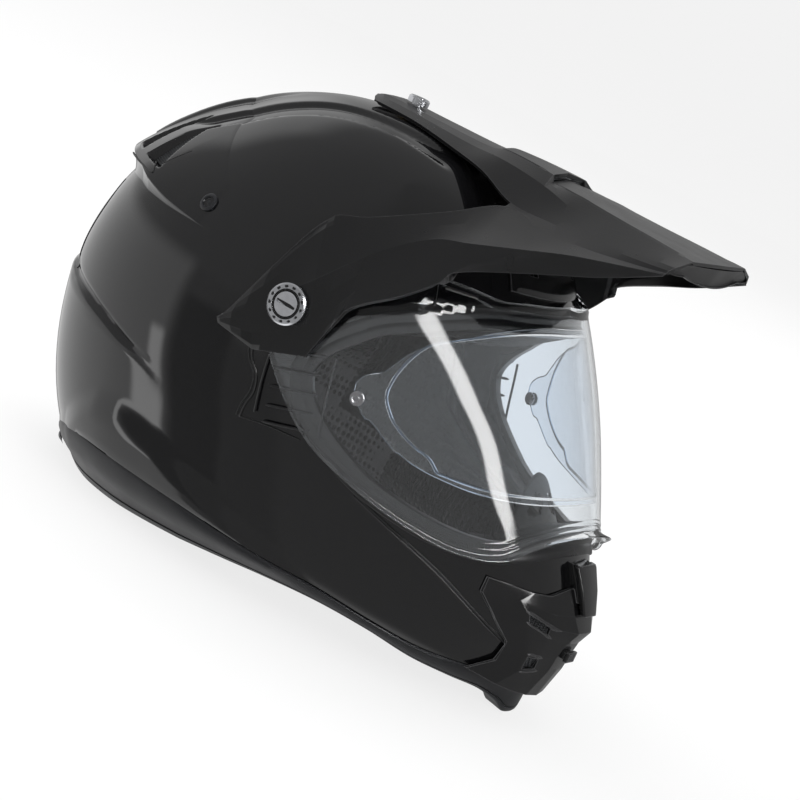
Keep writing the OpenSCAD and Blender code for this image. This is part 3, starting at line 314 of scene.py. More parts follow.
def mirrored(*parts):
    """Meshes as one, with their mirror image across the middle plane."""
    points, faces = merged(*parts)
    return merged((points, faces), (points * [1, -1, 1], [f[::-1] for f in faces]))


def tube(path, radius, sides=8, closed=False, flat=1.0):
    """Points and faces of a round bar along a path of points."""
    path = np.asarray(path, float)
    if closed:
        along = np.roll(path, -1, 0) - np.roll(path, 1, 0)
    else:
        along = np.gradient(path, axis=0)
    along = unit(along)
    out = unit(path - np.array([0, 0, 100.0]))
    side = unit(np.cross(along, out))
    out = np.cross(side, along)
    angle = np.linspace(0, 2 * math.pi, sides, endpoint=False)
    r = np.broadcast_to(np.asarray(radius, float), (len(path),))[:, None, None]
    rings = path[:, None] + r * (np.cos(angle)[None, :, None] * side[:, None]
                                 + flat * np.sin(angle)[None, :, None] * out[:, None])
    return ring_faces(rings, closed)


def lathe(profile, centre, axis, sides=64):
    """Points and faces of a turned piece: profile of radius and height, axis out of its face."""
    profile = np.asarray(profile, float)
    axis = unit(np.asarray(axis, float))
    u = unit(np.cross(axis, [1.0, 0, 0]))
    w = np.cross(axis, u)
    angle = np.linspace(0, 2 * math.pi, sides, endpoint=False)
    spoke = np.cos(angle)[:, None] * u + np.sin(angle)[:, None] * w
    radius, rise = profile[:, None, :1], profile[:, None, 1:]
    return ring_faces(np.asarray(centre, float) + radius * spoke + rise * axis, False)


def resample(points, count, closed=False):
    """A smooth line through given points, in count even steps."""
    points = np.asarray(points, float)
    if closed:
        points = np.concatenate([points[-2:], points, points[:3]])
        dense = smooth(points, np.linspace(2, len(points) - 3, count * 6 + 1))[:-1]
    else:
        dense = smooth(points, np.linspace(0, len(points) - 1, count * 6 + 1))
    length = np.concatenate([[0], np.cumsum(np.linalg.norm(np.diff(dense, axis=0), axis=1))])
    want = np.linspace(0, length[-1], count, endpoint=not closed)
    return np.stack([np.interp(want, length, dense[:, k]) for k in range(dense.shape[1])], -1)


def round_edges(obj, width, angle, segments, harden=True):
    """Bevel of a width in millimetres over the edges sharper than an angle in degrees."""
    mod = obj.modifiers.new("rounded edges", "BEVEL")
    mod.width = width * MM
    mod.segments = segments
    mod.limit_method = "ANGLE"
    mod.angle_limit = math.radians(angle)
    mod.harden_normals = harden


def piece(name, shape, look, body="shell_body", nodes=(), sharp=35, bevel=0):
    """One finished piece: its mesh, its material, the body it rides on and the nodes it replaces."""
    points, faces = shape
    mesh = bpy.data.meshes.new(name)
    mesh.from_pydata(seat(points).tolist(), [], [list(map(int, f)) for f in faces])
    mesh.validate()
    for polygon in mesh.polygons:
        polygon.use_smooth = True
    obj = bpy.data.objects.new(name, mesh)
    bpy.context.scene.collection.objects.link(obj)
    mesh.materials.append(look)
    if bevel:
        round_edges(obj, bevel, sharp, 3)
    if sharp:
        mesh.set_sharp_from_angle(angle=math.radians(sharp))
    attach(obj, body)
    if nodes:
        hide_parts(*nodes)
    return obj


# Materials. A wave texture at this scale has one wave for each unit.
THREADS = 0.314


class Tree:
    """A node tree, with short ways to add nodes and to link them."""

    def __init__(self, owner):
        owner.use_nodes = True
        self.nodes, self.links = owner.node_tree.nodes, owner.node_tree.links

    def put(self, socket, value):
        """Set an input to a value, or link it to another node's output."""
        if isinstance(value, bpy.types.NodeSocket):
            self.links.new(value, socket)
        else:
            socket.default_value = value

    def add(self, kind, inputs=(), **settings):
        """A new node: values or outputs by the name or the number of its inputs, then its settings."""
        node = self.nodes.new("ShaderNode" + kind)
        for key, value in settings.items():
            setattr(node, key, value)
        for key, value in dict(inputs).items():
            self.put(node.inputs[key], value)
        return node

    def math(self, kind, *values):
        """Result of a Math node."""
        return self.add("Math", enumerate(values), operation=kind).outputs[0]

    def mixed(self, share, first, second):
        """A shader between two others."""
        return self.add("MixShader", {0: share, 1: first.outputs[0], 2: second.outputs[0]}).outputs[0]

    def seen_plainly(self):
        """1 for what the camera, a mirror or glass sees, 0 for light falling on other things."""
        rays = self.add("LightPath").outputs
        seen = self.math("MAXIMUM", rays["Is Camera Ray"], rays["Is Glossy Ray"])
        return self.math("MAXIMUM", seen, rays["Is Transmission Ray"])


class Look(Tree):
    """A procedural material: its Principled shader and the texture nodes that drive it."""

    def __init__(self, name, color, roughness=0.5, **inputs):
        self.material = bpy.data.materials.new(name)
        super().__init__(self.material)
        self.shader = self.nodes["Principled BSDF"]
        self.surface = self.nodes["Material Output"].inputs["Surface"]
        for key, value in {"Base Color": (*color, 1), "Roughness": roughness, **inputs}.items():
            self.shader.inputs[key].default_value = value
        self.color = color
        self.coords = self.add("TexCoord").outputs["Object"]
        self.bumps = None

    def pattern(self, kind, size, inputs, **settings):
        """A texture node in which one unit is size metres, three sizes for a stretched pattern."""
        sizes = size if isinstance(size, tuple) else (size,) * 3
        place = self.add("Mapping", {"Scale": [1 / s for s in sizes], "Vector": self.coords}).outputs[0]
        return self.add(kind, {"Scale": 1, **inputs, "Vector": place}, **settings).outputs

    def noise(self, size, detail=3.0):
        """Cloudy noise."""
        return self.pattern("TexNoise", size, {"Detail": detail, "Roughness": 0.55})["Fac"]

    def cells(self, size, randomness=1.0):
        """Distance from the middle of round cells."""
        return self.pattern("TexVoronoi", size, {"Randomness": randomness}, feature="F1")["Distance"]

    def waves(self, size, direction="X", distortion=0.0):
        """Threads across a direction, one for each size."""
        inputs = {"Scale": THREADS, "Distortion": distortion}
        return self.pattern("TexWave", size, inputs, bands_direction=direction)["Fac"]

    def spread(self, value, low, high, start=0.3, end=0.7):
        """A value mapped from start..end to low..high."""
        inputs = {"From Min": start, "From Max": end, "To Min": low, "To Max": high, "Value": value}
        return self.add("MapRange", inputs).outputs["Result"]

    def rough(self, value, low, high):
        """Roughness between two values."""
        self.put(self.shader.inputs["Roughness"], self.spread(value, low, high))

    def tint(self, value, dark, light, start=0.3, end=0.7):
        """Base colour between dark and light as a value goes from start to end."""
        node = self.add("ValToRGB", {"Fac": value})
        for element, place, color in zip(node.color_ramp.elements, (start, end), (dark, light)):
            element.position, element.color = place, (*color, 1)
        self.put(self.shader.inputs["Base Color"], node.outputs["Color"])

    def painted_edge_highlight(self, width, light):
        """Painted edge highlight: base colour lighter where a rounded normal leaves the face's own."""
        soft = self.add("Bevel", {"Radius": width}, samples=4).outputs["Normal"]
        true = self.add("NewGeometry").outputs["Normal"]
        both = self.add("VectorMath", {0: soft, 1: true}, operation="DOT_PRODUCT")
        # painted highlight: the base colour goes toward a light tone along the edges
        self.tint(self.spread(both.outputs["Value"], 1, 0, 0.9, 0.99), self.color, light, 0.0, 1.0)

    def bump(self, value, depth):
        """A bump of a depth in metres; several bumps add up."""
        node = self.add("Bump", {"Strength": 1.0, "Distance": depth, "Height": value})
        if self.bumps:
            self.put(node.inputs["Normal"], self.bumps)
        self.bumps = node.outputs["Normal"]
        self.put(self.shader.inputs["Normal"], self.bumps)


def moulded(name, color, roughness, uneven, grain, painted_edge_highlight=None, tone=None, **inputs):
    """A material of plain kind. uneven is the roughness's noise size, low and high; grain is the
    bump's noise size, detail and depth; painted_edge_highlight (width and colour of a painted highlight along
    edges) and tone are what the looks' own functions take."""
    look = Look(name, color, roughness, **inputs)
    if painted_edge_highlight:
        look.painted_edge_highlight(*painted_edge_highlight)
    if tone:
        look.tint(look.noise(tone[0]), *tone[1:])
    look.rough(look.noise(uneven[0]), *uneven[1:])
    look.bump(look.noise(*grain[:2]), grain[2])
    return look.material


def gloss_look():
    """Lacquered shell: deep black with a faint orange peel."""
    coat = {"Coat Weight": 0.35, "Coat Roughness": 0.02}
    color = (0.0045, 0.0045, 0.005)
    return moulded("gloss black shell", color, 0.05, (0.06, 0.035, 0.075), (0.05, 1, 0.00006), **coat)


def satin_look():
    """Vents: fine satin with a painted highlight along the edges."""
    # edge is the colour of the painted highlight along the edges
    color, edge = (0.007, 0.007, 0.0075), (0.13, 0.13, 0.135)
    return moulded("satin black vents", color, 0.16, (0.03, 0.13, 0.2), (0.004, 2, 0.00002), (0.0006, edge))


def peak_look():
    """Peak: fine moulding grain with a painted highlight along the edges."""
    # edge is the colour of the painted highlight along the edges
    color, edge = (0.0042, 0.0042, 0.0047), (0.04, 0.04, 0.042)
    uneven, grain = (0.02, 0.27, 0.35), (0.0009, 4, 0.00006)
    return moulded("matte charcoal peak", color, 0.31, uneven, grain, (0.0007, edge))


def grained_look(name, color, roughness):
    """Matte moulding with a fine grain and slightly uneven colour."""
    tone = (0.05, [0.9 * c for c in color], [1.12 * c for c in color])
    uneven = (0.02, roughness - 0.04, roughness + 0.05)
    return moulded(name, color, roughness, uneven, (0.0009, 4, 0.00006), tone=tone)


def rubber_look():
    """Gaskets: smooth rubber with a dull bloom."""
    color, tone = (0.008, 0.008, 0.0085), (0.02, (0.007, 0.007, 0.0075), (0.010, 0.010, 0.011))
    return moulded("moulded rubber", color, 0.32, (0.01, 0.27, 0.38), (0.0012, 3, 0.00001), tone=tone)


def metal_look(name, color, roughness):
    """Turned or brushed metal with fine marks along one direction."""
    marks = ((0.0002, 0.003, 0.0002), 2, 0.000006)
    return moulded(name, color, roughness, (0.004, roughness * 0.75, roughness * 1.3), marks, Metallic=1.0)


def clear_look(name, color, roughness=0.0, shadow=0.92, mirror=0.25):
    """Clear plastic that lets light and shadows through."""
    optics = {"Transmission Weight": 1.0, "IOR": 1.45, "Specular IOR Level": mirror}
    look = Look(name, color, roughness, **optics)
    rays = look.add("LightPath").outputs
    soft = look.math("MAXIMUM", rays["Is Shadow Ray"], rays["Is Diffuse Ray"])
    through = look.add("BsdfTransparent", {"Color": (shadow, shadow, shadow, 1)})
    look.put(look.surface, look.mixed(soft, look.shader, through))
    return look.material


def net_look(name, thread, hole_and_shade_tone, size):
    """Open mesh cloth with round holes along a pad's rear and lower front; elsewhere painted shade darkens it
    nearly to the holes' colour.
    """
    look = Look(name, thread, 0.75, **{"Sheen Weight": 0.1, "Sheen Roughness": 0.5})
    holes = look.cells((size, size * 0.8, size * 1.25), randomness=0.15)
    place = look.add("SeparateXYZ", {0: look.coords}).outputs
    # painted shade: outside the rear and lower-front panel the cloth is darkened toward the holes' colour
    rear = look.spread(place["X"], 1, 0, -0.04, -0.035)
    low = look.math("MULTIPLY", look.spread(place["Z"], 1, 0, 0.068, 0.073),
                    look.spread(place["X"], 1, 0, 0.004, 0.009))
    panel = look.spread(look.math("MAXIMUM", rear, low), 0.3, 1, 0, 1)
    look.tint(look.math("MULTIPLY", holes, panel), hole_and_shade_tone, thread, 0.28, 0.42)
    look.bump(look.spread(holes, 0, 1, 0.22, 0.5), 0.0007)
    look.bump(look.waves(0.0006, "DIAGONAL", 1.0), 0.00012)
    return look.material


def cloth_look(name, color):
    """Brushed knit with faint ribs."""
    look = Look(name, color, 0.85, **{"Sheen Weight": 0.08, "Sheen Roughness": 0.45})
    look.tint(look.noise(0.01, 5), [0.75 * c for c in color], [1.3 * c for c in color])
    look.bump(look.waves(0.0007, "X", 0.6), 0.00015)
    look.bump(look.waves(0.0007, "Z", 0.6), 0.00012)
    look.bump(look.noise(0.0025, 4), 0.0002)
    return look.material


def webbing_look():
    """Straps: ribs across and a diagonal weave."""
    look = Look("woven webbing", (0.016, 0.016, 0.017), 0.7, **{"Sheen Weight": 0.3, "Sheen Roughness": 0.4})
    ribs = look.waves(0.0016, "X", 0.3)
    look.tint(ribs, (0.010, 0.010, 0.011), (0.026, 0.026, 0.028))
    look.bump(ribs, 0.0003)
    look.bump(look.waves(0.0012, "DIAGONAL"), 0.0002)
    return look.material


def foam_look():
    """Foam of fused beads."""
    look = Look("beaded foam", (0.02, 0.02, 0.021), 0.8)
    beads = look.cells(0.0035)
    look.tint(beads, (0.017, 0.017, 0.018), (0.008, 0.008, 0.009), 0.2, 0.7)
    look.bump(beads, -0.0004)
    return look.material


def wire_look():
    """Black woven wire with square openings."""
    look = Look("black woven wire", (0.05, 0.052, 0.055), 0.38, Metallic=0.7)
    wires = look.cells(0.0011, 0.0)
    look.tint(wires, (0.11, 0.115, 0.12), (0.008, 0.008, 0.009), 0.35, 0.6)
    look.bump(look.spread(wires, 1, 0, 0.25, 0.6), 0.0004)
    return look.material


GLOSS = gloss_look()
SATIN = satin_look()
PEAK = peak_look()
TRIM = grained_look("matte dark trim", (0.010, 0.0105, 0.0125), 0.4)
DARK = grained_look("dark moulding", (0.008, 0.008, 0.0085), 0.5)
BUCKLE = grained_look("black moulded buckle", (0.012, 0.012, 0.0125), 0.4)
LEVER = grained_look("red moulding", (0.35, 0.012, 0.012), 0.3)
RUBBER = rubber_look()
CLEAR = clear_look("clear shield", (0.9, 0.925, 0.945))
FILM = clear_look("clear insert", (0.88, 0.92, 0.97), mirror=0.08)
BEAD = clear_look("clear silicone", (0.55, 0.68, 0.85), 0.15, 0.7)
STEEL = metal_look("brushed steel", (0.42, 0.42, 0.44), 0.3)
BRASS = metal_look("brass", (0.62, 0.47, 0.2), 0.3)
SCREW = metal_look("turned aluminium", (0.66, 0.67, 0.7), 0.22)
WIRE = wire_look()
# the second colour is the holes' tone and also the painted shade over the pads' front
NET = net_look("mesh cloth", (0.19, 0.19, 0.2), (0.005, 0.005, 0.0055), 0.0034)
CLOTH = cloth_look("brushed lining", (0.02, 0.02, 0.022))
WEBBING = webbing_look()
FOAM = foam_look()
CAD_LOOKS = {
    "pivot_boss_left": DARK, "pivot_boss_right": DARK, "side_nut_left": BRASS, "side_nut_right": BRASS,
    "side_washer_left": RUBBER, "side_washer_right": RUBBER, "top_nut": BRASS, "snap_studs": STEEL,
    "strap_anchors": STEEL, "buckle_body": STEEL, "buckle_pin": STEEL, "buckle_lever": LEVER,
    "strap_tongue": BUCKLE, "shield_ear_left": CLEAR, "shield_ear_right": CLEAR,
    "side_screw_left": SCREW, "side_screw_right": SCREW, "top_screw": SCREW,
}
CAD_ROUNDED = ("buckle_body", "buckle_lever", "strap_tongue", "pivot_boss_left", "pivot_boss_right")


def dress_frame():
    """Finish of the CAD nodes that are kept as they are, with their edges rounded."""
    for name, look in CAD_LOOKS.items():
        obj = NODES[name]
        obj.data.materials.clear()
        obj.data.materials.append(look)
        if name in CAD_ROUNDED:
            round_edges(obj, 0.4, 30, 2, harden=False)


# Shell
PHI_STEP = 1.2
PHIS = np.arange(-180, 180, PHI_STEP)
LOW_ROWS = (8, 12, 10)
PORT_ROWS = 14
HIGH_ROWS = 78
CAP_ROWS = 10
RELAX_ROUNDS = 8


def shell_rows():
    """Row values of the shell's grid, seam to crown, with rows along its crease lines."""
    a = around(PHIS)
    seam, sill, brow = (row_of(height(table, PHIS)) for table in (SEAM, SILL, BROW))
    flare = np.maximum(row_of(lookup(FLARE_EDGE, a)), seam + 0.12 * (sill - seam))
    body = np.maximum(row_of(lookup(BODY_EDGE, a)), flare + 0.3 * (sill - flare))
    body = np.minimum(body, sill - 0.1)
    blocks = [(seam, flare, LOW_ROWS[0]), (flare, body, LOW_ROWS[1]), (body, sill, LOW_ROWS[2]),
              (sill, brow, PORT_ROWS), (brow, np.full_like(brow, LAST), HIGH_ROWS)]
    rows = [low + (high - low) * i / n for low, high, n in blocks for i in range(n)]
    return np.array(rows + [blocks[-1][1]])


def relax(grid, rounds, fixed):
    """Even out a wrapped grid's curvature; fixed rows stay."""
    kernel = (0.25, 0.5, 0.25)
    for _ in range(rounds):
        across = kernel[0] * np.roll(grid, 1, 1) + kernel[1] * grid + kernel[2] * np.roll(grid, -1, 1)
        up = grid.copy()
        up[1:-1] = kernel[0] * grid[:-2] + kernel[1] * grid[1:-1] + kernel[2] * grid[2:]
        new = 0.5 * (across + up)
        new[fixed] = across[fixed]
        grid = new
    return grid


def grid_normals(grid):
    """Directions out of a wrapped grid."""
    across = np.roll(grid, -1, 1) - np.roll(grid, 1, 1)
    return unit(np.cross(across, np.gradient(grid, axis=0)))


def crown_rings(last, top, shares):
    """Rings that close a cap from a grid's last row up to a height."""
    rings = np.array([APEX + (last - APEX) * s for s in shares])
    rings[..., 2] = [top - (top - last[:, 2]) * s**2 for s in shares]
    return rings


def make_shell():
    """The moulded shell: relief on its outer face, an open eye port and a closed crown."""
    rows = shell_rows()
    base = face(rows, PHIS)
    base = np.concatenate([base, crown_rings(base[-1], TOP_Z, np.linspace(1, 0, CAP_ROWS + 1)[1:-1])])
    base = relax(base, RELAX_ROUNDS, [0, 1, len(base) - 1])
    n = grid_normals(base)
    n[0, :, 2] = 0
    n[0] = unit(n[0])
    outer = base + n * relief(base, PHIS)[..., None]
    inner = base - n * SHELL_WALL
    m = len(PHIS)
    keep = np.ones((len(base) - 1, m), bool)
    sill = sum(LOW_ROWS)
    keep[sill:sill + PORT_ROWS, around(PHIS + PHI_STEP / 2) < PORT_PHI] = False
    points, faces = grid_faces(outer, inner, keep, wrap=True)
    count, apex = len(base) * m, len(points)
    crown = base[-1].mean(0)
    crown[2] = TOP_Z
    points = np.concatenate([points, [crown, crown - [0, 0, SHELL_WALL]]])
    top = np.arange(count - m, count)
    hidden = (faces.min(1) >= top[0]) & (faces.min(1) < count) & (faces.max(1) >= 2 * count - m)
    faces = faces[~hidden].tolist()
    for a, b in zip(top, np.roll(top, -1)):
        faces += [[a, b, apex], [b + count, a + count, apex + 1]]
    piece("shell", (points, faces), GLOSS, nodes=["outer_shell"], sharp=50)


def skin(z, phi, lift=0.0):
    """Point on the finished shell at a height and an angle, with its relief and a lift over it."""
    t = row_of(z)
    p = face(t, phi)
    return p + normal(t, phi) * (relief(p, phi) + lift)[..., None]


# Side screws' stack and the peak's plate, worked out as the part does
PIVOT_X, PIVOT_Z = 11.2, 147.6
EAR_R = 14.0
EAR_Y = float(side_y(PIVOT_X, PIVOT_Z - EAR_R)) + 0.7
ARM_Y = EAR_Y + 3 + 0.5 + 3 + 2.4
SCREW_TILT = math.tan(math.radians(3))
PLATE_Z = 248.5
# Thinner than the part's wall, so that the peak's rear edge keeps clear of the shell when it tilts
PEAK_WALL = 1.8
PEAK_CREASE = 7
# The peak as lines from rear to front, from its middle to its outer edge: x, y, height over the plate
PEAK_LINES = np.array([
    [[-51, 0, -2.2], [-42, 0, -0.2], [-14, 0, 0], [21, 0, 0.6], [34, 0, 4.4],
     [64, 0, 5], [88, 0, 1.6], [112, 0, 0.6], [137, 0, -0.2], [162, 0, -1]],
    [[-50, 10, -2.4], [-42, 11, -0.3], [-14, 12, -0.1], [22, 14, 0.3], [36, 16, 3.2],
     [66, 22, 3.2], [88, 26, 0.2], [112, 30, -0.7], [136, 34.5, -1], [160, 38.8, -1.6]],
    [[-47, 18, -3.2], [-38, 19, -1.6], [-14, 21, -1.6], [18, 25, -2], [42, 30, -0.8],
     [69, 34, -2.6], [92, 39, -6.4], [116, 47, -8], [137, 53, -8.4], [158.6, 55, -6.4]],
    [[-43, 25, -4.2], [-33, 27, -3.9], [-12, 29, -4.2], [14, 34, -6.6], [38, 41, -9.4],
     [63, 50, -16], [90, 54, -15], [115, 57, -13.2], [137, 59.2, -11.2], [157.6, 58.8, -8.6]],
    [[-19, 1.6, -121.1], [-7, 0, -89.2], [4, 113.5, -56.7], [21, 104.5, -47.3], [48, 85.5, -30.5],
     [64, 57, -17.8], [91.5, 64, -18.8], [115, 65, -17.1], [137, 63, -13.8], [157.4, 60, -10.2]],
    [[-21.5, 2, -123.5], [-4, 0, -108], [18, 0, -84], [36, 112.5, -59.6], [55, 101.5, -43],
     [73, 97.5, -36.5], [94, 89, -29], [115, 80, -21.6], [137, 69.5, -15.8], [157, 61, -11]],
    [[-19.5, 1.8, -126.2], [2.4, 0, -129.8], [31, 0, -119.8], [39, 0, -91.2], [60, 118.5, -72.2],
     [71.5, 110.8, -59.6], [77, 104.5, -50.6], [106, 83.5, -36.6], [131, 72.5, -25.8], [157, 62, -12]],
])
ARM_LINE = 4
PAD_ROWS = (1, 2, 3)
WINDOW_ROW = 5
SCOOP_ROW = 5
FRONT_ROW = 9


def pad_y(x, z):
    """Plane of the arm's pad: its distance from the middle at a place."""
    return ARM_Y - (x - PIVOT_X) * SCREW_TILT - (z - PIVOT_Z) * SCREW_TILT


def peak_lines():
    """The drawn lines as points: arm points count from the pad's plane."""
    lines = PEAK_LINES.copy()
    lines[..., 2] += PLATE_Z
    for k, last in enumerate(PAD_ROWS):
        pad = lines[ARM_LINE + k, :last + 1]
        pad[:, 1] += pad_y(pad[:, 0], pad[:, 2])
    return lines


def peak_grid(rows, cols):
    """Points of the peak's outer face at row values and line values, right half negative."""
    lines = peak_lines()
    along = np.array([smooth(line, rows) for line in lines])
    for k, last in enumerate(PAD_ROWS):
        flat = rows <= last + 1e-6
        line = lines[ARM_LINE + k]
        straight = [np.interp(rows[flat], np.arange(len(line)), line[:, c]) for c in range(3)]
        along[ARM_LINE + k][flat] = np.stack(straight, -1)
    out = np.empty((len(rows), len(cols), 3))
    for j, v in enumerate(cols):
        i = min(int(abs(v)), len(lines) - 2)
        p = along[i] + (along[i + 1] - along[i]) * (abs(v) - i)
        out[:, j] = p * np.array([1, -1 if v < 0 else 1, 1])
    return out


def edge_distance(points, line):
    """Distance of points from a polyline, both in the XZ plane."""
    best = np.full(points.shape[:-1], 1e9)
    p = points[..., [0, 2]]
    for a, b in zip(line[:-1], line[1:]):
        a, b = a[[0, 2]], b[[0, 2]]
        f = np.clip(((p - a) @ (b - a)) / ((b - a) @ (b - a)), 0, 1)
        best = np.minimum(best, np.linalg.norm(p - (a + f[..., None] * (b - a)), axis=-1))
    return best


def peak_cells():
    """Row and line values of the peak's grid, closer together at its edges and its scoop."""
    rows = np.concatenate([[0, 0.09, 0.18, 0.4, 0.7], np.arange(1, SCOOP_ROW, 1 / 6),
                           [SCOOP_ROW, SCOOP_ROW + 0.05], np.arange(SCOOP_ROW + 0.25, FRONT_ROW, 1 / 6),
                           [FRONT_ROW]])
    middle = [0, 0.5, 0.94, 1, 1.06, 1.5, 2, 2.5, 3]
    arm = [4, 4.08, 4.16, 4.5, 4.85, 5, 5.3, 5.65, 5.9, 6]
    return rows, np.array([-v for v in reversed(middle + arm)] + (middle + arm)[1:])


def peak_face(rows, cols):
    """The peak's outer face: its scoop dropped, its creases cut and the arms' rims sunk."""
    grid = peak_grid(rows, cols)
    a = np.abs(cols)
    u = rows[:, None]
    drop = np.clip(1 - (u - SCOOP_ROW - 0.05) / 0.95, 0, 1) * (u > SCOOP_ROW + 0.01)
    grid[..., 2] -= 3.3 * step((1.75 - a) / 0.6) * drop
    crease = (np.abs(a - 1) < 0.02) & (((u > 5.3) & (u < 8.7)) | ((u > 3.8) & (u < 4.8)))
    grid[..., 2] -= np.where(crease, 0.7, 0)
    lines = peak_lines()
    rim = np.concatenate([lines[ARM_LINE, 2::-1], lines[ARM_LINE + 1:, 0], lines[-1, 1:2]])
    depth = 2.6 * np.clip(1 - edge_distance(grid, rim) / 3.4, 0, 1) * step((3.2 - u) / 1.4)
    grid[..., 1] -= np.sign(cols) * np.where((a >= ARM_LINE) & (u < 3.4), depth, 0)
    return grid


def make_peak():
    """The peak with its arms: a face with open windows and scoop slot, thickened into a wall."""
    rows, cols = peak_cells()
    grid = peak_face(rows, cols)
    n, m = grid.shape[:2]
    mid = middles(cols)
    keep = np.ones((n - 1, m - 1), bool)
    keep[np.ix_(rows[:-1] < WINDOW_ROW, (mid > 3) & (mid < 4))] = False
    keep[np.ix_(np.abs(rows[:-1] - SCOOP_ROW) < 0.02, mid < 0.95)] = False
    index = np.arange(n * m).reshape(n, m)
    i, j = np.nonzero(keep)
    faces = np.stack([index[i, j], index[i + 1, j], index[i + 1, j + 1], index[i, j + 1]], -1)
    used, faces = np.unique(faces, return_inverse=True)
    shape = (grid.reshape(-1, 3)[used], faces.reshape(-1, 4))
    obj = piece("peak_shell", shape, PEAK, "peak_body", ["peak"], sharp=PEAK_CREASE)
    wall = obj.modifiers.new("wall", "SOLIDIFY")
    wall.thickness = PEAK_WALL * MM
    wall.offset = -1
    wall.use_even_offset = True
    wall.thickness_clamp = 1.0
    round_edges(obj, 0.6, PEAK_CREASE, 2)


# Section of the front lip: shift along x and share of its depth
PEAK_LIP = ((-0.3, 0.2), (-1.3, 0.45), (-2.0, 0.8), (-1.9, 0.97), (-0.5, 1), (-0.5, 1.06), (-3.4, 1.06),
            (-3.6, 0.8), (-2.8, 0.2))


def make_peak_lip():
    """Front lip: a skirt that hangs from the front edge, deepest in the middle, with a small flange."""
    x, y, z = peak_grid(np.array([float(FRONT_ROW)]), np.linspace(-3.9, 3.9, 60))[0].T
    depth = 11.5 * (1 - (np.abs(y) / 62) ** 2.2) + 0.5
    curves = [np.stack([x + shift, y, z - 0.4 - depth * fall], -1) for shift, fall in PEAK_LIP]
    piece("peak_lip", bar_through(curves), PEAK, "peak_body", sharp=40)


def make_peak_meshes():
    """Wire mesh in the scoop's slot."""
    u = np.linspace(-0.94, 0.94, 24)
    lip = peak_grid(np.array([float(SCOOP_ROW)]), u)[0]
    outer = np.array([lip + [-0.6, 0, -f] for f in (0.6, 2.2, 3.8)])
    inner = outer - [0.6, 0, 0]
    piece("scoop_mesh", grid_faces(outer, inner), WIRE, "peak_body", ["peak_meshes"])


# Clear shield and its insert
SHIELD_PHI = 80.0
SHIELD_GAP = 3.4
SHIELD_WALL = 2.0
ROOF_LINE = [[0, 187], [21.5, 183.4], [35, 179], [48.6, 171.5], [63.3, 158.9], [72, 152], [80, 140]]
INSERT_LOW = [103, 102, 100, 98, 98, 101, 112]
INSERT_TOP = [179, 178.5, 176, 171, 163, 152, 130]


def tab(phi):
    """Share of the lift tab's reach, left of the nose only."""
    return np.where((phi > 8) & (phi < 22), np.sin(np.radians(np.clip((phi - 8) / 14, 0, 1) * 180)), 0)


def rim_profile(h, phi):
    """Outward rise of the shield over its lower rim: a thick edge, then two fine ridges."""
    fade = step((78 - np.abs(phi)) / 16)
    ridges = 0.3 * np.exp(-((h - 4.6) / 0.6) ** 2) + 0.22 * np.exp(-((h - 7.4) / 0.6) ** 2)
    return fade * (1.9 * np.exp(-(h / 1.7) ** 2) + ridges) + 4 * tab(phi) * np.exp(-(h / 2.2) ** 2)


def make_shield():
    """The clear pane between its rim and its upper edge, cut round for the ears."""
    phis = np.linspace(-SHIELD_PHI, SHIELD_PHI, 221)
    low, high = height(RIM, phis), height(SHIELD_TOP, phis)
    f = np.concatenate([np.linspace(0, 0.12, 36)[:-1], np.linspace(0.12, 1, 56)])[:, None]
    z = low + (high - low) * f
    t = row_of(z)
    outer = off(t, phis, SHIELD_GAP + SHIELD_WALL + rim_profile((high - low) * f, phis))
    inner = off(t, phis, SHIELD_GAP)
    roof = z - lookup(ROOF_LINE, np.abs(phis))
    ledge = 0.9 * step((roof + 1.2) / 1.2) * step((70 - np.abs(phis)) / 12)
    outer = outer + normal(t, phis) * ledge[..., None]
    x, z = cell_middles(outer[..., 0]), cell_middles(z)
    keep = np.hypot(x - PIVOT_X, z - PIVOT_Z) > EAR_R + 0.3
    piece("shield_pane", grid_faces(outer, inner, keep), CLEAR, "shield_body", ["shield"], sharp=50)


def on_shield(z, phi, lift):
    """Point over the shield's face."""
    return at(z, phi, SHIELD_GAP + SHIELD_WALL + 0.9 + lift)


def make_shield_details():
    """Dark slots and the middle rib above the shield's straight line, both sides."""
    parts = []
    for start, end in (((176.5, -57.5), (180.5, -50.6)), ((181, -46.6), (181.6, -37.5))):
        z, phi = np.linspace(start, end, 12).T
        parts.append(tube(on_shield(z, phi, -0.2), 1.1, flat=0.35))
    piece("shield_slots", mirrored(*parts), DARK, "shield_body")
    rib = tube(on_shield(np.linspace(171.8, 183.2, 12), -48.7, -0.1), np.linspace(0.9, 0.6, 12))
    piece("shield_rib", mirrored(rib), CLEAR, "shield_body")


def insert_edges(phi):
    """Lower and upper edge of the insert, meeting in a rounded rear end."""
    a = np.abs(phi)
    low, high = smooth(INSERT_LOW, np.minimum(a, 57) / 10), smooth(INSERT_TOP, np.minimum(a, 57) / 10)
    mid = 0.5 * (low + high)
    close = np.sqrt(np.clip(1 - (np.clip(a - 52, 0, 10) / 10) ** 2, 0, 1))
    wave = 0.9 * np.sin((a - 50) * 1.9) * step((a - 50) / 3) * step((61.5 - a) / 2)
    return mid + (low - mid) * close + wave, mid + (high - mid) * close


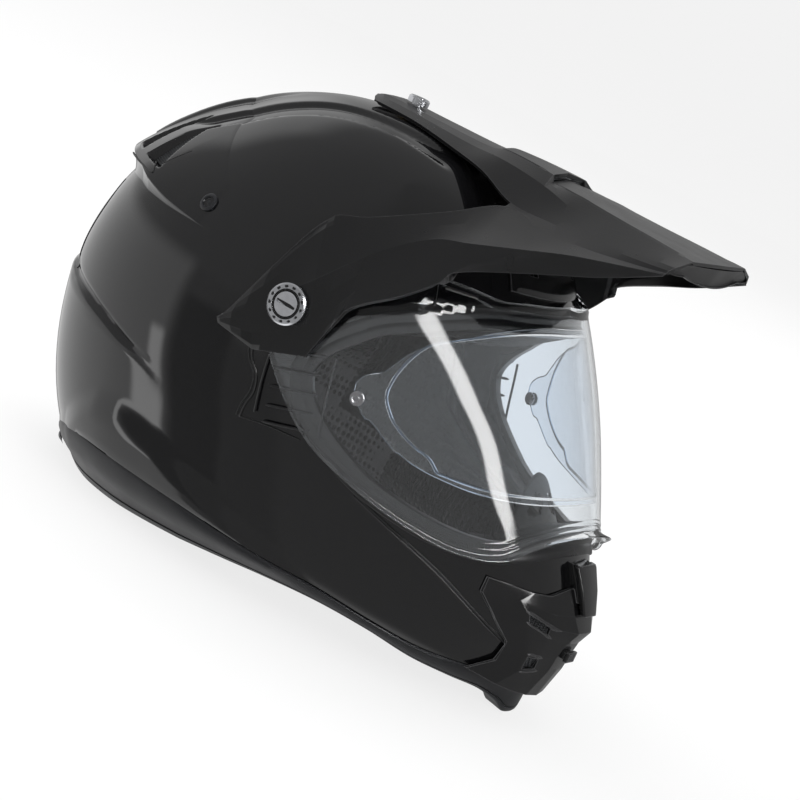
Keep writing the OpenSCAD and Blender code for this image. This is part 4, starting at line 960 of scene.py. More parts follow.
def make_insert():
    """Thin anti-fog insert inside the shield, with a silicone edge."""
    rear = 61.9 - np.geomspace(0.01, 9, 26)[::-1] + 0.01
    phis = np.concatenate([-rear[::-1], np.linspace(-52.5, 52.5, 100), rear])
    low, high = insert_edges(phis)
    t = row_of(low + (high - low) * np.linspace(0, 1, 25)[:, None])
    outer, inner = off(t, phis, SHIELD_GAP - 1.1), off(t, phis, SHIELD_GAP - 1.1 - 0.7)
    piece("insert_pane", grid_faces(outer, inner), FILM, "shield_body", ["anti_fog_insert"], sharp=50)
    edge = np.concatenate([outer[0], outer[-1, ::-1]])
    piece("insert_edge", tube(edge, 0.38, 6, closed=True), BEAD, "shield_body")


def make_insert_seal():
    """Silicone bead a few millimetres inside the insert's edge, with the step in its lower run."""
    rear = 55.5
    phis = np.linspace(-rear, rear, 150)
    low, high = insert_edges(phis * 52 / rear)
    mid = 0.5 * (low + high)
    close = np.sqrt(np.clip(1 - (np.clip(np.abs(phis) - 45.5, 0, 10) / 10) ** 2, 0, 1))
    lift = 2.6 + 5.5 * step((np.abs(phis) - 43.5) / 2.5)
    z = np.concatenate([mid + (low + lift - mid) * close, (mid + (high - 2.6 - mid) * close)[::-1]])
    path = at(z, np.concatenate([phis, phis[::-1]]), SHIELD_GAP - 0.6)
    bead = tube(resample(path[::2], 420, True), 0.85, closed=True, flat=0.6)
    piece("insert_bead", bead, BEAD, "shield_body", ["insert_seal"])


PIN_PLACE = (119.0, -61.0)
PIN = [(3.4, -2.2), (3.65, -2.0), (3.65, -1.2), (2.0, -1.2), (2.0, 2.2), (3.4, 2.2), (3.65, 2.4),
       (3.65, 2.6), (3.3, 2.85), (2.5, 2.85), (2.2, 2.5), (1.2, 2.5), (0.9, 2.75)]


def make_insert_pins():
    """Turned retaining pins: a head inside the shield, a shank through it and a dished button."""
    z, phi = PIN_PLACE
    shape = lathe(PIN, at(z, phi, SHIELD_GAP - 0.3), normal(row_of(z), phi), 48)
    piece("insert_pin_heads", mirrored(shape), STEEL, "shield_body", ["insert_pins"], sharp=50)


# Rim band, gasket and what lies in the eye port
def ground_z(x):
    """Height of the ground that the seated helmet stands on, in the drawn frame."""
    return -(x + HEEL) * math.tan(PITCH)


def rim_pt(phi, out, up):
    """Point off the lower edge of the rim band."""
    p = level(0, phi, out)
    a = around(phi)
    base = np.maximum(smooth(BASE, a / 10), 0) * step((a - 5) / 7)
    return np.stack([p[..., 0], p[..., 1], ground_z(p[..., 0]) + up + base], -1)


# Outer face of the rim band: share of its height, share of the relief above it, and how far out
TRIM_FACE = ((1, 1, 0.1), (0.96, 1, 0.7), (0.86, 1, 1.3), (0.6, 1, 1.6), (0.4, 0.5, 1.7), (0.25, 0, 1.6),
             (0.17, 0, 1.45), (0.155, 0, 0.8), (0.135, 0, 0.8), (0.12, 0, 1.35), (0.05, 0, 1.0),
             (0.015, 0, 0.4))
# Its underside, as distance out and height
TRIM_UNDER = ((-0.5, 0), (-12, 0), (-13.4, 0.7), (-14, 2.5), (-13.4, 4.3), (-12, 5))


def make_trim():
    """Rim band round the whole lower edge, with a groove along it and a rolled inner lip."""
    top = height(SEAM, PHIS) - 0.4
    lift = relief(face(row_of(top), PHIS), PHIS)
    low = rim_pt(PHIS, 0, 0)[:, 2]
    curves = [level(low + (top - low) * f, PHIS, share * lift + out) for f, share, out in TRIM_FACE]
    curves += [rim_pt(PHIS, out, up) for out, up in TRIM_UNDER]
    inner_z = np.maximum(low + 5, low + (top - low) * 0.5)
    curves += [level(inner_z, PHIS, -5.7), level(top, PHIS, -4.2)]
    piece("rim_band", bar_through(curves, True, True), TRIM, nodes=["base_trim"], sharp=30)


def corner_curve(a, b, c):
    """Rounded corner from a to c, drawn toward b."""
    f = np.linspace(0, 1, 12)[1:-1, None]
    return (1 - f) ** 2 * np.array(a) + 2 * f * (1 - f) * np.array(b) + f**2 * np.array(c)


def port_outline():
    """The eye port's edge as height and angle, with rounded rear corners, as one closed loop."""
    phis = np.arange(-PORT_BEND, PORT_BEND + 0.1, 1.5)
    sill, brow = height(SILL, phis), height(BROW, phis)
    low, high = (float(height(table, PORT_PHI)) for table in (SILL, BROW))
    sill_end, brow_end = (float(height(table, PORT_BEND)) for table in (SILL, BROW))
    rise = np.linspace(low + 18, high - 12, 8)
    below = corner_curve([sill_end, PORT_BEND], [low, PORT_PHI], [low + 18, PORT_PHI])
    side = np.stack([rise, np.full(8, float(PORT_PHI))], -1)
    above = corner_curve([high - 12, PORT_PHI], [high + 2, PORT_PHI - 1], [brow_end, PORT_BEND])
    end = np.concatenate([below, side, above])
    lower, upper = np.stack([sill, phis], -1), np.stack([brow, phis], -1)
    loop = np.concatenate([lower, end, upper[::-1], end[::-1] * [1, -1]])
    return resample(loop[::2], 300, True)


# Section of the gasket, as distance out from the port's edge and off the shell
GASKET = [(-0.4, -4.2), (-0.4, 0.2), (6.8, 0.2), (7.0, 0.7), (6.2, 1.15), (2.4, 1.2), (1.6, 0.7), (0.8, 0.7),
          (0, 1.25), (-3.2, 1.25), (-4.3, 0.8), (-4.6, 0), (-4.6, -4.2)]


def make_gasket():
    """Rubber round the eye port, with ribs between two long beads at each rear end."""
    z, phi = port_outline().T
    p, n = at(z, phi), normal(row_of(z), phi)
    out = unit(np.cross(unit(np.roll(p, -1, 0) - np.roll(p, 1, 0)), n))
    body = bar_through([p + a * out + b * n for a, b in GASKET], True, True)
    ribs = []
    for top in (131, 121.5, 112, 102.5, 94):
        path = at(np.linspace(top, top - 6.5, 14), np.linspace(-68.5, -77.5, 14), 1.5)
        ribs.append(tube(path, np.concatenate([[0.3], np.full(12, 0.8), [0.3]])))
    for low, side in ((90, -79.2), (93, -66.8)):
        ribs.append(tube(at(np.linspace(low, 132, 20), side, 1.3), 0.7))
    shape = merged(body, mirrored(*ribs))
    piece("port_gasket", shape, RUBBER, nodes=["eye_port_gasket"])


# Section of the sill deck's two faces, as distance off the shell and height over the sill
DECK_TOP = ((-4.8, -0.6), (-7, -0.2), (-12, 0.8), (-17, 1.6), (-19, 0.4), (-19.4, -3))
DECK_UNDER = ((-4.8, -0.6), (-7, -0.2), (-12, 0.8), (-17, 1.6), (-17.6, 0.4), (-18, -3))
DECK_SLOTS = ((34, 37.5), (27, 30.5), (19, 22.5))
DECK_SLOT_ROW = 2


def make_sill_deck():
    """Deck behind the port's sill with its air slots, and the flap in front of the nose."""
    phis = np.linspace(-58, 58, 117)
    sill = height(SILL, phis)
    outer = np.array([level(sill + dz, phis, d) for d, dz in DECK_TOP])
    inner = np.array([level(sill + dz - 1.6, phis, d) for d, dz in DECK_UNDER])
    a = middles(phis)
    keep = np.ones((len(DECK_TOP) - 1, len(a)), bool)
    for start, end in DECK_SLOTS:
        keep[DECK_SLOT_ROW, (a > start) & (a < end)] = False
    deck = grid_faces(outer[::-1], inner[::-1], keep[::-1])
    phis = np.linspace(-16, 16, 33)
    u = np.linspace(0, 1, 17)[:, None]
    z = height(SILL, phis) - 2 + 24 * u * (1 - (np.abs(phis) / 17) ** 2 * 0.8)
    eye = ((middles(phis) - 6.5) / 4.2) ** 2 + ((middles(u) - 0.52) / 0.22) ** 2 < 1
    flap = grid_faces(level(z, phis, -17.5 - 5 * u), level(z, phis, -19.3 - 5 * u), ~eye)
    piece("sill_deck", merged(deck, flap), DARK, nodes=["breath_guard"], bevel=0.4)


# Lines on the shell as height and angle, with a radius, a lift and whether they are dark
SHELL_LINES = [
    ([(150, -151), (134, -148.5), (112, -147.5), (97, -145)], 0.4, -0.15, True),
    ([(119, -83), (113.3, -82.3), (106.5, -80.5), (98.6, -80.3), (91, -81.3), (83.7, -81.8)],
     0.55, 0.0, False),
    ([(119, -83.7), (113.3, -83), (106.5, -81.2), (98.6, -81), (91, -82), (83.7, -82.5)], 0.5, -0.2, True),
    ([(83.7, -81.8), (86.4, -75.9), (87.4, -70.3)], 0.4, -0.1, True),
    ([(74.1, -58.8), (63.6, -49.8), (54, -41.4), (39.7, -31.4), (30.5, -23.2)], 0.75, -0.2, True),
    ([(73.3, -59.2), (62.8, -50.3), (53.2, -42), (38.9, -31.9), (30.2, -24)], 0.4, 0.05, False),
]


def make_seams():
    """Joint lines and the moulded fold lines of the shell, right side and its mirror."""
    parts = {True: [], False: []}
    for points, radius, depth, dark in SHELL_LINES:
        path = resample(np.array(points, float), 60)
        parts[dark].append(tube(skin(*path.T, depth), radius))
    piece("shell_seams", mirrored(*parts[True]), DARK, sharp=0)
    piece("shell_beads", mirrored(*parts[False]), GLOSS, sharp=0)


# Vents
HOUSING = np.array([
    [[0, 4, 8], [11, 4.5, 8.4], [21, 5.5, 9], [31, 7, 8.4], [43, 10, 4.6]],
    [[0, 21, 4.8], [9, 21, 5.4], [17, 20, 4.8], [28, 18, 7.5], [38, 20, 4.6]],
    [[0, 30, 2.8], [9, 29, 3.6], [19, 28, 3.4], [29, 29, 4.6], [40, 32, 3.4]],
    [[0, 38, 3.2], [8, 38, 3.6], [21, 40, 2.8], [39, 46, 4.8], [49, 41, 3.4]],
    [[0, 46, 7.6], [8, 46, 8], [22, 45.5, 4.2], [41, 51.5, 5.2], [54, 47, 3.2]],
    [[0, 54, 5], [11, 54, 5.4], [24, 53, 5.4], [44, 55.5, 3.8], [59, 53, 3]],
    [[0, 64, 2.8], [12, 66, 2.4], [27, 61, 2.6], [38, 60.5, 2.6], [59, 61.5, 2.6]],
])


def housing_pt(i, k, rise=None):
    """Point of the chin housing at row i and signed line k, whole or fractional."""
    a = abs(k)
    i0, k0 = min(int(i), HOUSING.shape[0] - 2), min(int(a), HOUSING.shape[1] - 2)
    q = sum(w * HOUSING[i0 + di, k0 + dk]
            for di, wi in ((0, 1 - (i - i0)), (1, i - i0))
            for dk, w in ((0, wi * (1 - (a - k0))), (1, wi * (a - k0))))
    x = float(front_at(q[0], q[1])) + (q[2] if rise is None else rise)
    return np.array([x, math.copysign(q[0], k) if k else 0.0, q[1]])


# Grid values of the housing: each window's cell has a row and a line just inside its frame
HOUSING_ROWS = [0, 1, 1.16, 1.84, 2, 3, 3.14, 3.86, 4, 5, 6]
HOUSING_LINES = [0, 1, 2, 2.14, 2.88, 3, 4]
WINDOW_ROWS = ((1.16, 1.84), (3.14, 3.86))
WINDOW_LINES = (2.14, 2.88)
# Ridges beside the windows: row, first and last line, radius
RIDGES = ((4.0, 1.75, 3.02, 0.9), (3.0, 1.95, 2.98, 0.7), (2.0, 1.95, 3.0, 0.7), (1.0, 1.9, 2.95, 0.6))


def make_chin_housing():
    """Facetted housing with framed windows: each window's cell has a sunk rim round its mesh."""
    cols = [-v for v in reversed(HOUSING_LINES)] + HOUSING_LINES[1:]
    backs = [3 if i < 2 else 1.7 if i < 4 else 1.2 for i in HOUSING_ROWS]
    outer = np.array([[housing_pt(i, k) for k in cols] for i in HOUSING_ROWS])
    inner = np.array([[housing_pt(i, k, back) for k in cols] for i, back in zip(HOUSING_ROWS, backs)])
    row, line = middles(np.array(HOUSING_ROWS)), middles(np.array(cols))
    tall = sum((row > start) & (row < end) for start, end in WINDOW_ROWS) > 0
    wide = (line > WINDOW_LINES[0]) & (line < WINDOW_LINES[1])
    parts = [grid_faces(outer, inner, ~(tall[:, None] & wide))]
    for row, start, end, radius in RIDGES:
        ks = np.linspace(start, end, 16)
        ridge = np.array([housing_pt(row, -k) + [radius * 0.35, 0, 0] for k in ks])
        swell = np.clip(np.minimum(ks - start, end - ks) / 0.12, 0.25, 1)
        parts.append(mirrored(tube(ridge, radius * swell)))
    block = []
    for f in np.linspace(0, 1, 5):
        z = 60 + 17.5 * f
        half = 0.5 * (4.4 - 1.5 * f)
        block.append(((nose_x(z) + half - 1.2, 0, z), 8.4 + 2.6 * f, half + 1.2, 1.2))
    parts.append(rounded_block(block))
    shape = merged(*parts)
    piece("chin_housing", shape, SATIN, nodes=["chin_vent_housing"], sharp=12, bevel=0.8)


def make_chin_meshes():
    """Wire in the housing's four windows."""
    parts = []
    for i in (1, 3):
        u, v = np.linspace(0.14, 0.86, 7), np.linspace(0.12, 0.9, 9)
        top = np.array([[housing_pt(i + a, -(2 + b), 2.4) for b in v] for a in u])
        parts.append(grid_faces(top, top - [0.8, 0, 0]))
    piece("chin_meshes", mirrored(*parts), WIRE, nodes=["chin_vent_meshes"])


BLOCK_SIDES = 24


def rounded_block(rings):
    """Closed solid through rounded rectangles: centre, half width, half depth and corner radius."""
    out = []
    for (x, y, z), w, d, r in rings:
        corner = []
        for k in range(BLOCK_SIDES):
            a = 2 * math.pi * (k + 0.5) / BLOCK_SIDES
            cx, cy = math.cos(a), math.sin(a)
            corner.append([x + math.copysign(d - r, cx) + r * cx, y + math.copysign(w - r, cy) + r * cy, z])
        out.append(corner)
    return ring_faces(np.array(out), False)


def make_chin_flap():
    """Slightly bulged flap in the middle of the housing."""
    x0, x1 = nose_x(55.0) + HOUSING[5, 0, 2] + 0.4, nose_x(78.0) + 3.4
    rings = []
    for f, w in ((0, 7.4), (0.04, 7.9), (0.5, 10.1), (0.94, 11.9), (1, 11.3)):
        bulge = 0.45 * math.sin(math.pi * f)
        rings.append(((x0 + (x1 - x0) * f + 1.6 + bulge, 0, 55 + 23 * f), w, 1.55 + bulge, 1.0))
    shape = rounded_block(rings)
    piece("chin_flap_panel", shape, SATIN, "chin_flap_body", ["chin_flap"], sharp=30, bevel=0.3)


# The shutter's tab: distance off the nose, place across, then height, half width, half depth and
# corner of each ring
SHUTTER = [
    (2.4, 0, ((29.1, 4.4, 1.6, 0.5), (32.9, 4.4, 1.6, 0.5))),
    (5.1, 0, ((28.1, 5, 0.9, 0.5), (28.5, 5.4, 1.1, 0.6), (33.5, 5.4, 1.1, 0.6), (33.9, 5, 0.9, 0.5))),
] + [(6.0, y, ((29, 0.5, 0.5, 0.3), (33, 0.5, 0.5, 0.3))) for y in (-3, -1, 1, 3)]


def make_shutter():
    """Thumb tab of the chin shutter: a stem, a cap and four ribs."""
    x = nose_x(31.0)
    blocks = [rounded_block([((x + out, y, z), *size) for z, *size in rings]) for out, y, rings in SHUTTER]
    thumb = merged(*blocks)
    piece("chin_shutter_tab", thumb, SATIN, "chin_shutter_body", ["chin_shutter"], sharp=30)


def make_brow_vent():
    """Low cover over the brow's air inlets, and its ribbed slider."""
    phis = np.linspace(-24, 24, 61)
    u = np.linspace(0, 3, 31)[:, None]
    z = np.interp(u, [0, 1, 2, 3], [191, 198, 204, 210])
    rise = np.interp(u, [0, 0.25, 1, 2, 2.75, 3], [1.2, 2.6, 3.4, 3.2, 2.3, 1.2])
    top = at(z, phis, 1.2 + (rise - 1.2) * step((24 - np.abs(phis)) / 4))
    a, v = middles(phis), middles(u)
    hole = (v > 1.1) & (v < 1.9) & (a > 12.8) & (a < 17.2)
    cover = grid_faces(top, at(z, phis, 0.4), ~hole)
    piece("brow_cover", cover, SATIN, nodes=["brow_vent_cover"])
    z = np.array([201.0, 201.6, 204, 204.5])[:, None]
    phi = np.linspace(-6, 6, 25)
    slider = grid_faces(at(z, phi, 5.0 + 0.35 * np.cos(phi * 3.2)), at(z, phi, 3.8))
    piece("brow_slider", slider, SATIN, "brow_vent_slider_body", ["brow_vent_slider"])


# Crown's overhang over the nape, by the angle from the nape: height of its lip, how far it stands
# off and where it ends above
LIP_Z = [[0, 171], [9, 167], [20, 163], [45, 162.5], [51, 160.8], [62, 158.8], [78, 157.5]]
LIP_RISE = [[0, 9.4], [22, 9.4], [33, 8], [51, 5.4], [63, 2.4], [75, 0]]
HOOD_TOP = [[0, 214], [42, 214], [60, 196], [78, 176]]
HOOD_SPAN = 78.0
# Its slots: angle behind and ahead, half width behind, height behind and ahead
SLOTS = ((31.0, 31.5, 3.4, 167.5, 198), (45.5, 41.0, 5.0, 168.0, 199))
SLOT_DEPTH = 5.5


def hood_shape(z, a, low, high):
    """Rise of the overhang over the shell at a height and an angle from the nape."""
    s = np.clip((z - low) / (high - low), 0, 1)
    rise = lookup(LIP_RISE, a) * (1 - s**1.15) - 0.45 * step((s - 0.92) / 0.08) - 0.45 * step((a - 71) / 6)
    cut = 0
    for behind, ahead, half, z0, z1 in SLOTS:
        f = (z - z0) / (z1 - z0)
        width = half * (1 - 0.8 * np.clip(f, 0, 1))
        inside = step((width - np.abs(a - behind - (ahead - behind) * f)) / 0.9 + 0.5)
        cut = np.maximum(cut, inside * step(f / 0.05 + 0.5) * step((1 - f) / 0.06 + 0.5))
    return rise - cut * np.clip(rise - 0.3, 0, SLOT_DEPTH)


def make_hood():
    """Overhang with its lip and the hollow wall below the lip."""
    v = np.linspace(-HOOD_SPAN, HOOD_SPAN, 2 * 170 + 1)
    a, phi = np.abs(v), 180 + v
    low, high, full = lookup(LIP_Z, a), lookup(HOOD_TOP, a), lookup(LIP_RISE, a)
    f = np.concatenate([[0, 0.006, 0.014, 0.03], np.linspace(0.05, 1, 90)])[:, None]
    z = low + (high - low) * f
    rise = hood_shape(z, a, low, high)
    rise[0] -= 0.12 * full
    base = relief(at(z, phi), phi)
    wall, floor = [], []
    for g in (1.0, 0.8, 0.6, 0.4, 0.2, 0.05):
        under = low - 0.8 * full * g - 0.2 * g
        b = relief(at(under, phi), phi)
        wall.append(at(under, phi, b + full * 0.86 * (1 - g) ** 1.7 - 0.4 * step((g - 0.5) / 0.5)))
        floor.append(at(under, phi, b - 1.4))
    top = np.concatenate([np.array(wall), at(z, phi, base + rise)])
    low_face = np.concatenate([np.array(floor), at(z, phi, base - 1.4)])
    piece("rear_hood", grid_faces(top, low_face), GLOSS, nodes=["rear_exhaust"], sharp=50)


def make_hood_wires():
    """Wire on the bottoms of the overhang's slots."""
    parts = []
    f = np.linspace(0.03, 0.8, 30)[:, None]
    across = np.linspace(-1, 1, 9)[None]
    for side in (-1, 1):
        for behind, ahead, half, z0, z1 in SLOTS:
            z = z0 + (z1 - z0) * f + 0 * across
            a = behind + (ahead - behind) * f + across * (half * (1 - 0.8 * f) - 0.5)
            phi = 180 + side * a
            s = (z - lookup(LIP_Z, a)) / (lookup(HOOD_TOP, a) - lookup(LIP_Z, a))
            rise = lookup(LIP_RISE, a) * (1 - s**1.15)
            b = relief(at(z, phi), phi) + np.maximum(rise - SLOT_DEPTH, 0.3) + 0.8
            parts.append(grid_faces(at(z, phi, b), at(z, phi, b - 0.6)))
    piece("exhaust_wire", merged(*parts), WIRE, nodes=["exhaust_meshes"])


# Dark lines: the groove under the lip's corner, as height, angle and rise, and the hood's joint
HOOD_GROOVE = [(162.6, -145.5, 9.1), (163.0, -140, 8.4), (163.3, -135, 7.0), (163.6, -130, 5.9),
               (164.6, -129.2, 5.6), (168.6, -132.4, 5.8)]
HOOD_JOINT = [(169.6, -129.9), (176, -129), (183, -128)]


def make_hood_lines():
    """Groove and joint line at the overhang's front corners."""
    z, phi, rise = resample(HOOD_GROOVE, 60).T
    groove = tube(at(z, phi, relief(at(z, phi), phi) + rise - 0.55), 0.55, 6)
    z, phi = resample(HOOD_JOINT, 30).T
    a = 180 + phi
    rise = hood_shape(z, a, lookup(LIP_Z, a), lookup(HOOD_TOP, a))
    line = tube(at(z, phi, relief(at(z, phi), phi) + rise - 0.1), 0.32, 6)
    piece("hood_lines", mirrored(groove, line), DARK, sharp=0)


def make_fin():
    """Short fin over the rim band at the nape."""
    phis = np.linspace(144, 216, 73)
    base = relief(face(row_of(height(SEAM, phis)), phis), phis)
    u = np.linspace(0, 1, 9)[:, None]
    a = np.abs(phis - 180)
    reach = np.maximum(2.2 + (4.4 - a / 12) * (1 - u) ** 1.5 * step((36 - a) / 6), 2.3)
    z = 5.4 + 2.8 * u
    fin = grid_faces(level(z, phis, base + reach), level(z, phis, base + 2.1))
    piece("nape_fin", fin, TRIM, nodes=["rear_fin"], sharp=40)


# Side screws: place, radius and height of the head, then its slot and its pits
HEAD_Y = ARM_Y + 0.3
HEAD_R = 10.6
HEAD_H = 3.6
SLOT_FLOOR = HEAD_H - 1.4
PIT_COUNT = 13


def slot_direction(node, centre, axis):
    """Direction of a screw's slot, from the corners of the slot's floor in its CAD node."""
    world = np.array(node.matrix_world)
    arm = (vertices(node) @ world[:3, :3].T + world[:3, 3]) / MM - centre
    depth = arm @ axis
    flat = arm - depth[:, None] * axis
    floor = flat[(np.abs(depth - SLOT_FLOOR) < 0.06) & (np.linalg.norm(flat, axis=1) < HEAD_R * 0.56)]
    reach = np.linalg.norm(floor[:, None] - floor[None], axis=-1)
    i, j = np.unravel_index(np.argmax(reach), reach.shape)
    other = np.argsort(reach[i])[1]
    return unit(floor[j] - floor[other])


def make_screw_painted_shade():
    """Painted shade: dark bottoms of the pits, of the ring groove and of the slot in the side screws' heads.
    """
    for side, word in ((1, "left"), (-1, "right")):
        axis = unit(np.array([SCREW_TILT, side, SCREW_TILT]))
        centre = np.array([PIVOT_X, side * HEAD_Y, PIVOT_Z])
        along = slot_direction(NODES[f"side_screw_{word}"], seat(centre) / MM, turn(axis))
        along = np.linalg.solve(turn(np.eye(3)).T, along)
        across = np.cross(axis, along)

        def spokes(angle):
            return np.cos(angle)[:, None] * along + np.sin(angle)[:, None] * across

        turns = 2 * np.pi * (np.arange(PIT_COUNT) + 0.5) / PIT_COUNT
        pits = centre + axis * (HEAD_H - 0.16) + spokes(turns) * HEAD_R * 0.83
        parts = [lathe([(0.75, 0.0), (0.75, 0.12)], pit, axis, 16) for pit in pits]
        ring = HEAD_R * 0.65 * spokes(np.linspace(0, 2 * math.pi, 64, endpoint=False))
        parts.append(tube(centre + axis * (HEAD_H - 0.62) + ring, 0.33, closed=True))
        corners = np.array([along * a * HEAD_R * 0.5 + across * b * 0.88
                            for a, b in ((-1, -1), (1, -1), (1, 1), (-1, 1))])
        parts.append(ring_faces([centre + axis * (HEAD_H - depth) + corners for depth in (1.38, 0.9)], False))
        # dark pieces that paint the shade at the bottoms of the pits, the groove and the slot
        piece(f"screw_painted_shade_{word}", merged(*parts), DARK, f"side_screw_{word}_body", sharp=40)


PLUG_PLACE = (7.36, -108.0)
PLUG = [(4.9, -0.6), (5.0, 0.5), (4.5, 1.0), (3.4, 1.1), (2.9, 0.6), (2.7, 0.0), (1.6, -0.1), (1.0, 0.3)]


def make_plugs():
    """Turned plugs behind the temples, one each side."""
    shape = lathe(PLUG, off(*PLUG_PLACE, 0.3), normal(*PLUG_PLACE), 56)
    piece("temple_plugs", mirrored(shape), TRIM, nodes=["side_plugs"], sharp=40)


# Inside: liners, pads and straps
def dome(low_z, out, thick):
    """Closed cap under the shell from a lower edge to the crown; thick is its depth by row and angle."""
    u = np.linspace(0, 1, 61)[:, None]
    rows = row_of(low_z) + (LAST - row_of(low_z)) * u
    base, n = face(rows, PHIS), normal(rows, PHIS)
    depth = thick(u, PHIS) + 0 * rows
    caps = []
    for grid, top in ((base + n * out, TOP_Z + out),
                      (base + n * (out - depth[..., None]), TOP_Z + out - float(depth[-1].mean()))):
        caps.append(np.concatenate([grid, crown_rings(grid[-1], top, (0.8, 0.6, 0.4, 0.2, 0.04))]))
    return grid_faces(*caps, wrap=True)


# Lower edges of the two liners, by the angle from the nose
LINER_LOW = [[0, 177], [30, 174], [50, 163], [60, 153], [72, 138], [98, 140], [104, 101], [124, 100],
             [130, 68], [180, 64]]
LINING_LOW = [[0, 178], [30, 175], [50, 164], [60, 154], [72, 141], [98, 143], [104, 110], [180, 110]]


def plain(u, phi):
    """Depth of the foam, thinner at its edge."""
    return 28 - 3 * step((0.04 - u) / 0.04) + 0 * phi


def quilt(u, phi):
    """Depth of the quilted lining: channels up and across."""
    ribs = np.abs(np.sin(np.radians(phi * 5))) ** 0.45
    bands = np.abs(np.sin(u * math.pi * 3.5)) ** 0.4
    return 2.6 + 5.9 * ribs * bands * step((u + 0.02) / 0.05)


def make_liners():
    """Impact foam under the shell and the quilted lining inside it."""
    a = around(PHIS)
    foam = dome(lookup(LINER_LOW, a), -SHELL_WALL - 0.4, plain)
    piece("foam_liner", foam, FOAM, nodes=["impact_liner"], sharp=40)
    lining = dome(lookup(LINING_LOW, a), -SHELL_WALL - 28.8, quilt)
    obj = piece("crown_lining", lining, CLOTH, nodes=["comfort_liner"], sharp=0)


PAD_FRONT = [[20, 48], [66, 52], [82, 68], [94, 76], [134, 78]]
PAD_REAR = [[20, 112], [84, 120], [98, 98], [134, 97]]
PAD_OUT = 8.6
PAD_DEPTH = 33.0


def pad_point(f, g, depth, side):
    """Point of a cheek pad: f up, g from front to rear, depth 0 at the shell to 1 at the face."""
    f, g = np.broadcast_arrays(np.asarray(f, float), np.asarray(g, float))
    z = 23.5 + 109.5 * f
    phi = lookup(PAD_FRONT, z) + (lookup(PAD_REAR, z) - lookup(PAD_FRONT, z)) * g
    crown = np.clip(np.sin(np.pi * f) * np.sin(np.pi * g), 0, 1) ** 0.4
    p = at(z, phi, -PAD_OUT - depth * PAD_DEPTH * (0.5 + 0.5 * crown))
    return p * np.array([1, side, 1])


VOXEL = 4.5
PRESSURE = 4.0
SOLVER_STEPS = 20


def swollen(name, shape, look, node, cap):
    """A pad blown up by the cloth solver from a slightly smaller closed shape, then smoothed."""
    obj = piece(name, shape, look, nodes=[node], sharp=0)
    remesh = obj.modifiers.new("even mesh", "REMESH")
    remesh.mode = "VOXEL"
    remesh.voxel_size = VOXEL * MM
    settle(obj)
    start = vertices(obj)
    cloth = obj.modifiers.new("air", "CLOTH")
    cloth.settings.use_pressure = True
    cloth.settings.uniform_pressure_force = PRESSURE
    cloth.settings.quality = 5
    cloth.settings.mass = 0.15
    cloth.settings.effector_weights.gravity = 0
    cloth.point_cache.frame_start, cloth.point_cache.frame_end = 1, SOLVER_STEPS
    for number in range(1, SOLVER_STEPS + 1):
        bpy.context.scene.frame_set(number)
    settle(obj)
    bpy.context.scene.frame_set(1)
    move = vertices(obj) - start
    reach = np.linalg.norm(move, axis=1, keepdims=True)
    limited = start + move * np.minimum(1, cap * MM / np.maximum(reach, 1e-9))
    obj.data.vertices.foreach_set("co", limited.astype(np.float32).ravel())
    round_off = obj.modifiers.new("smooth", "SUBSURF")
    round_off.levels = round_off.render_levels = 1


def vertices(obj):
    """An object's own points, as rows."""
    data = np.empty(len(obj.data.vertices) * 3, np.float32)
    obj.data.vertices.foreach_get("co", data)
    return data.reshape(-1, 3).astype(float)


def settle(obj):
    """Apply an object's modifiers, so that its mesh is what they make."""
    graph = bpy.context.evaluated_depsgraph_get()
    mesh = bpy.data.meshes.new_from_object(obj.evaluated_get(graph))
    for polygon in mesh.polygons:
        polygon.use_smooth = True
    obj.modifiers.clear()
    obj.data = mesh


def make_cheek_pads():
    """Cheek cushions in mesh cloth, each with piping round its face."""
    up, along = np.linspace(0, 1, 24), np.linspace(0, 1, 20)
    edge = [(u, 0.0) for u in up] + [(1.0, u) for u in along[1:]]
    edge += [(1 - u, 1.0) for u in up[1:]] + [(0.0, 1 - u) for u in along[1:-1]]
    f, g = np.linspace(0.012, 0.988, 22)[:, None], np.linspace(0.012, 0.988, 18)
    for side, word in ((1, "left"), (-1, "right")):
        shape = grid_faces(*(pad_point(f, g, depth, side)[:, ::side] for depth in (0.03, 0.94)))
        swollen(f"cheek_cushion_{word}", shape, NET, f"cheek_pad_{word}", 2.2)
        path = pad_point(*np.array(edge).T, 0.86, side)
        piping = tube(resample(path, 160, True), 1.15, closed=True)
        piece(f"cheek_piping_{word}", piping, CLOTH, sharp=0)


def make_neck_roll():
    """Roll along the nape, pinched six times."""
    rings = []
    q = np.linspace(0, 2 * math.pi, 28, endpoint=False)[::-1]
    for k in np.linspace(0.02, 0.98, 73):
        full = 0.45 + 0.55 * math.sin(math.pi * k) ** 0.5
        full = full * (0.94 + 0.06 * abs(math.sin(math.pi * k * 6)) ** 0.5)
        rings.append(level(36 + 21.5 * full * np.sin(q), 126 + 108 * k,
                           -SHELL_WALL - 12.4 + 10 * full * np.cos(q)))
    swollen("nape_roll", ring_faces(rings, False), CLOTH, "neck_roll", 1.2)


def make_chin_foam():
    """Foam inside the chin bar, rounded toward its edges."""
    u, phi = np.linspace(0, 1, 15)[:, None], np.linspace(-42, 42, 57)
    z = 20 + 46 * u
    edge = np.clip(np.minimum(np.minimum(u, 1 - u) * 46, (42 - np.abs(phi)) * 2.4) / 6, 0, 1)
    depth = 14 - 6 * (1 - np.sqrt(1 - (1 - edge) ** 2))
    out = -SHELL_WALL - 0.5
    pad = grid_faces(at(z, phi, out), at(z, phi, out - depth))
    piece("chin_pad", pad, FOAM, nodes=["chin_foam"], sharp=45)


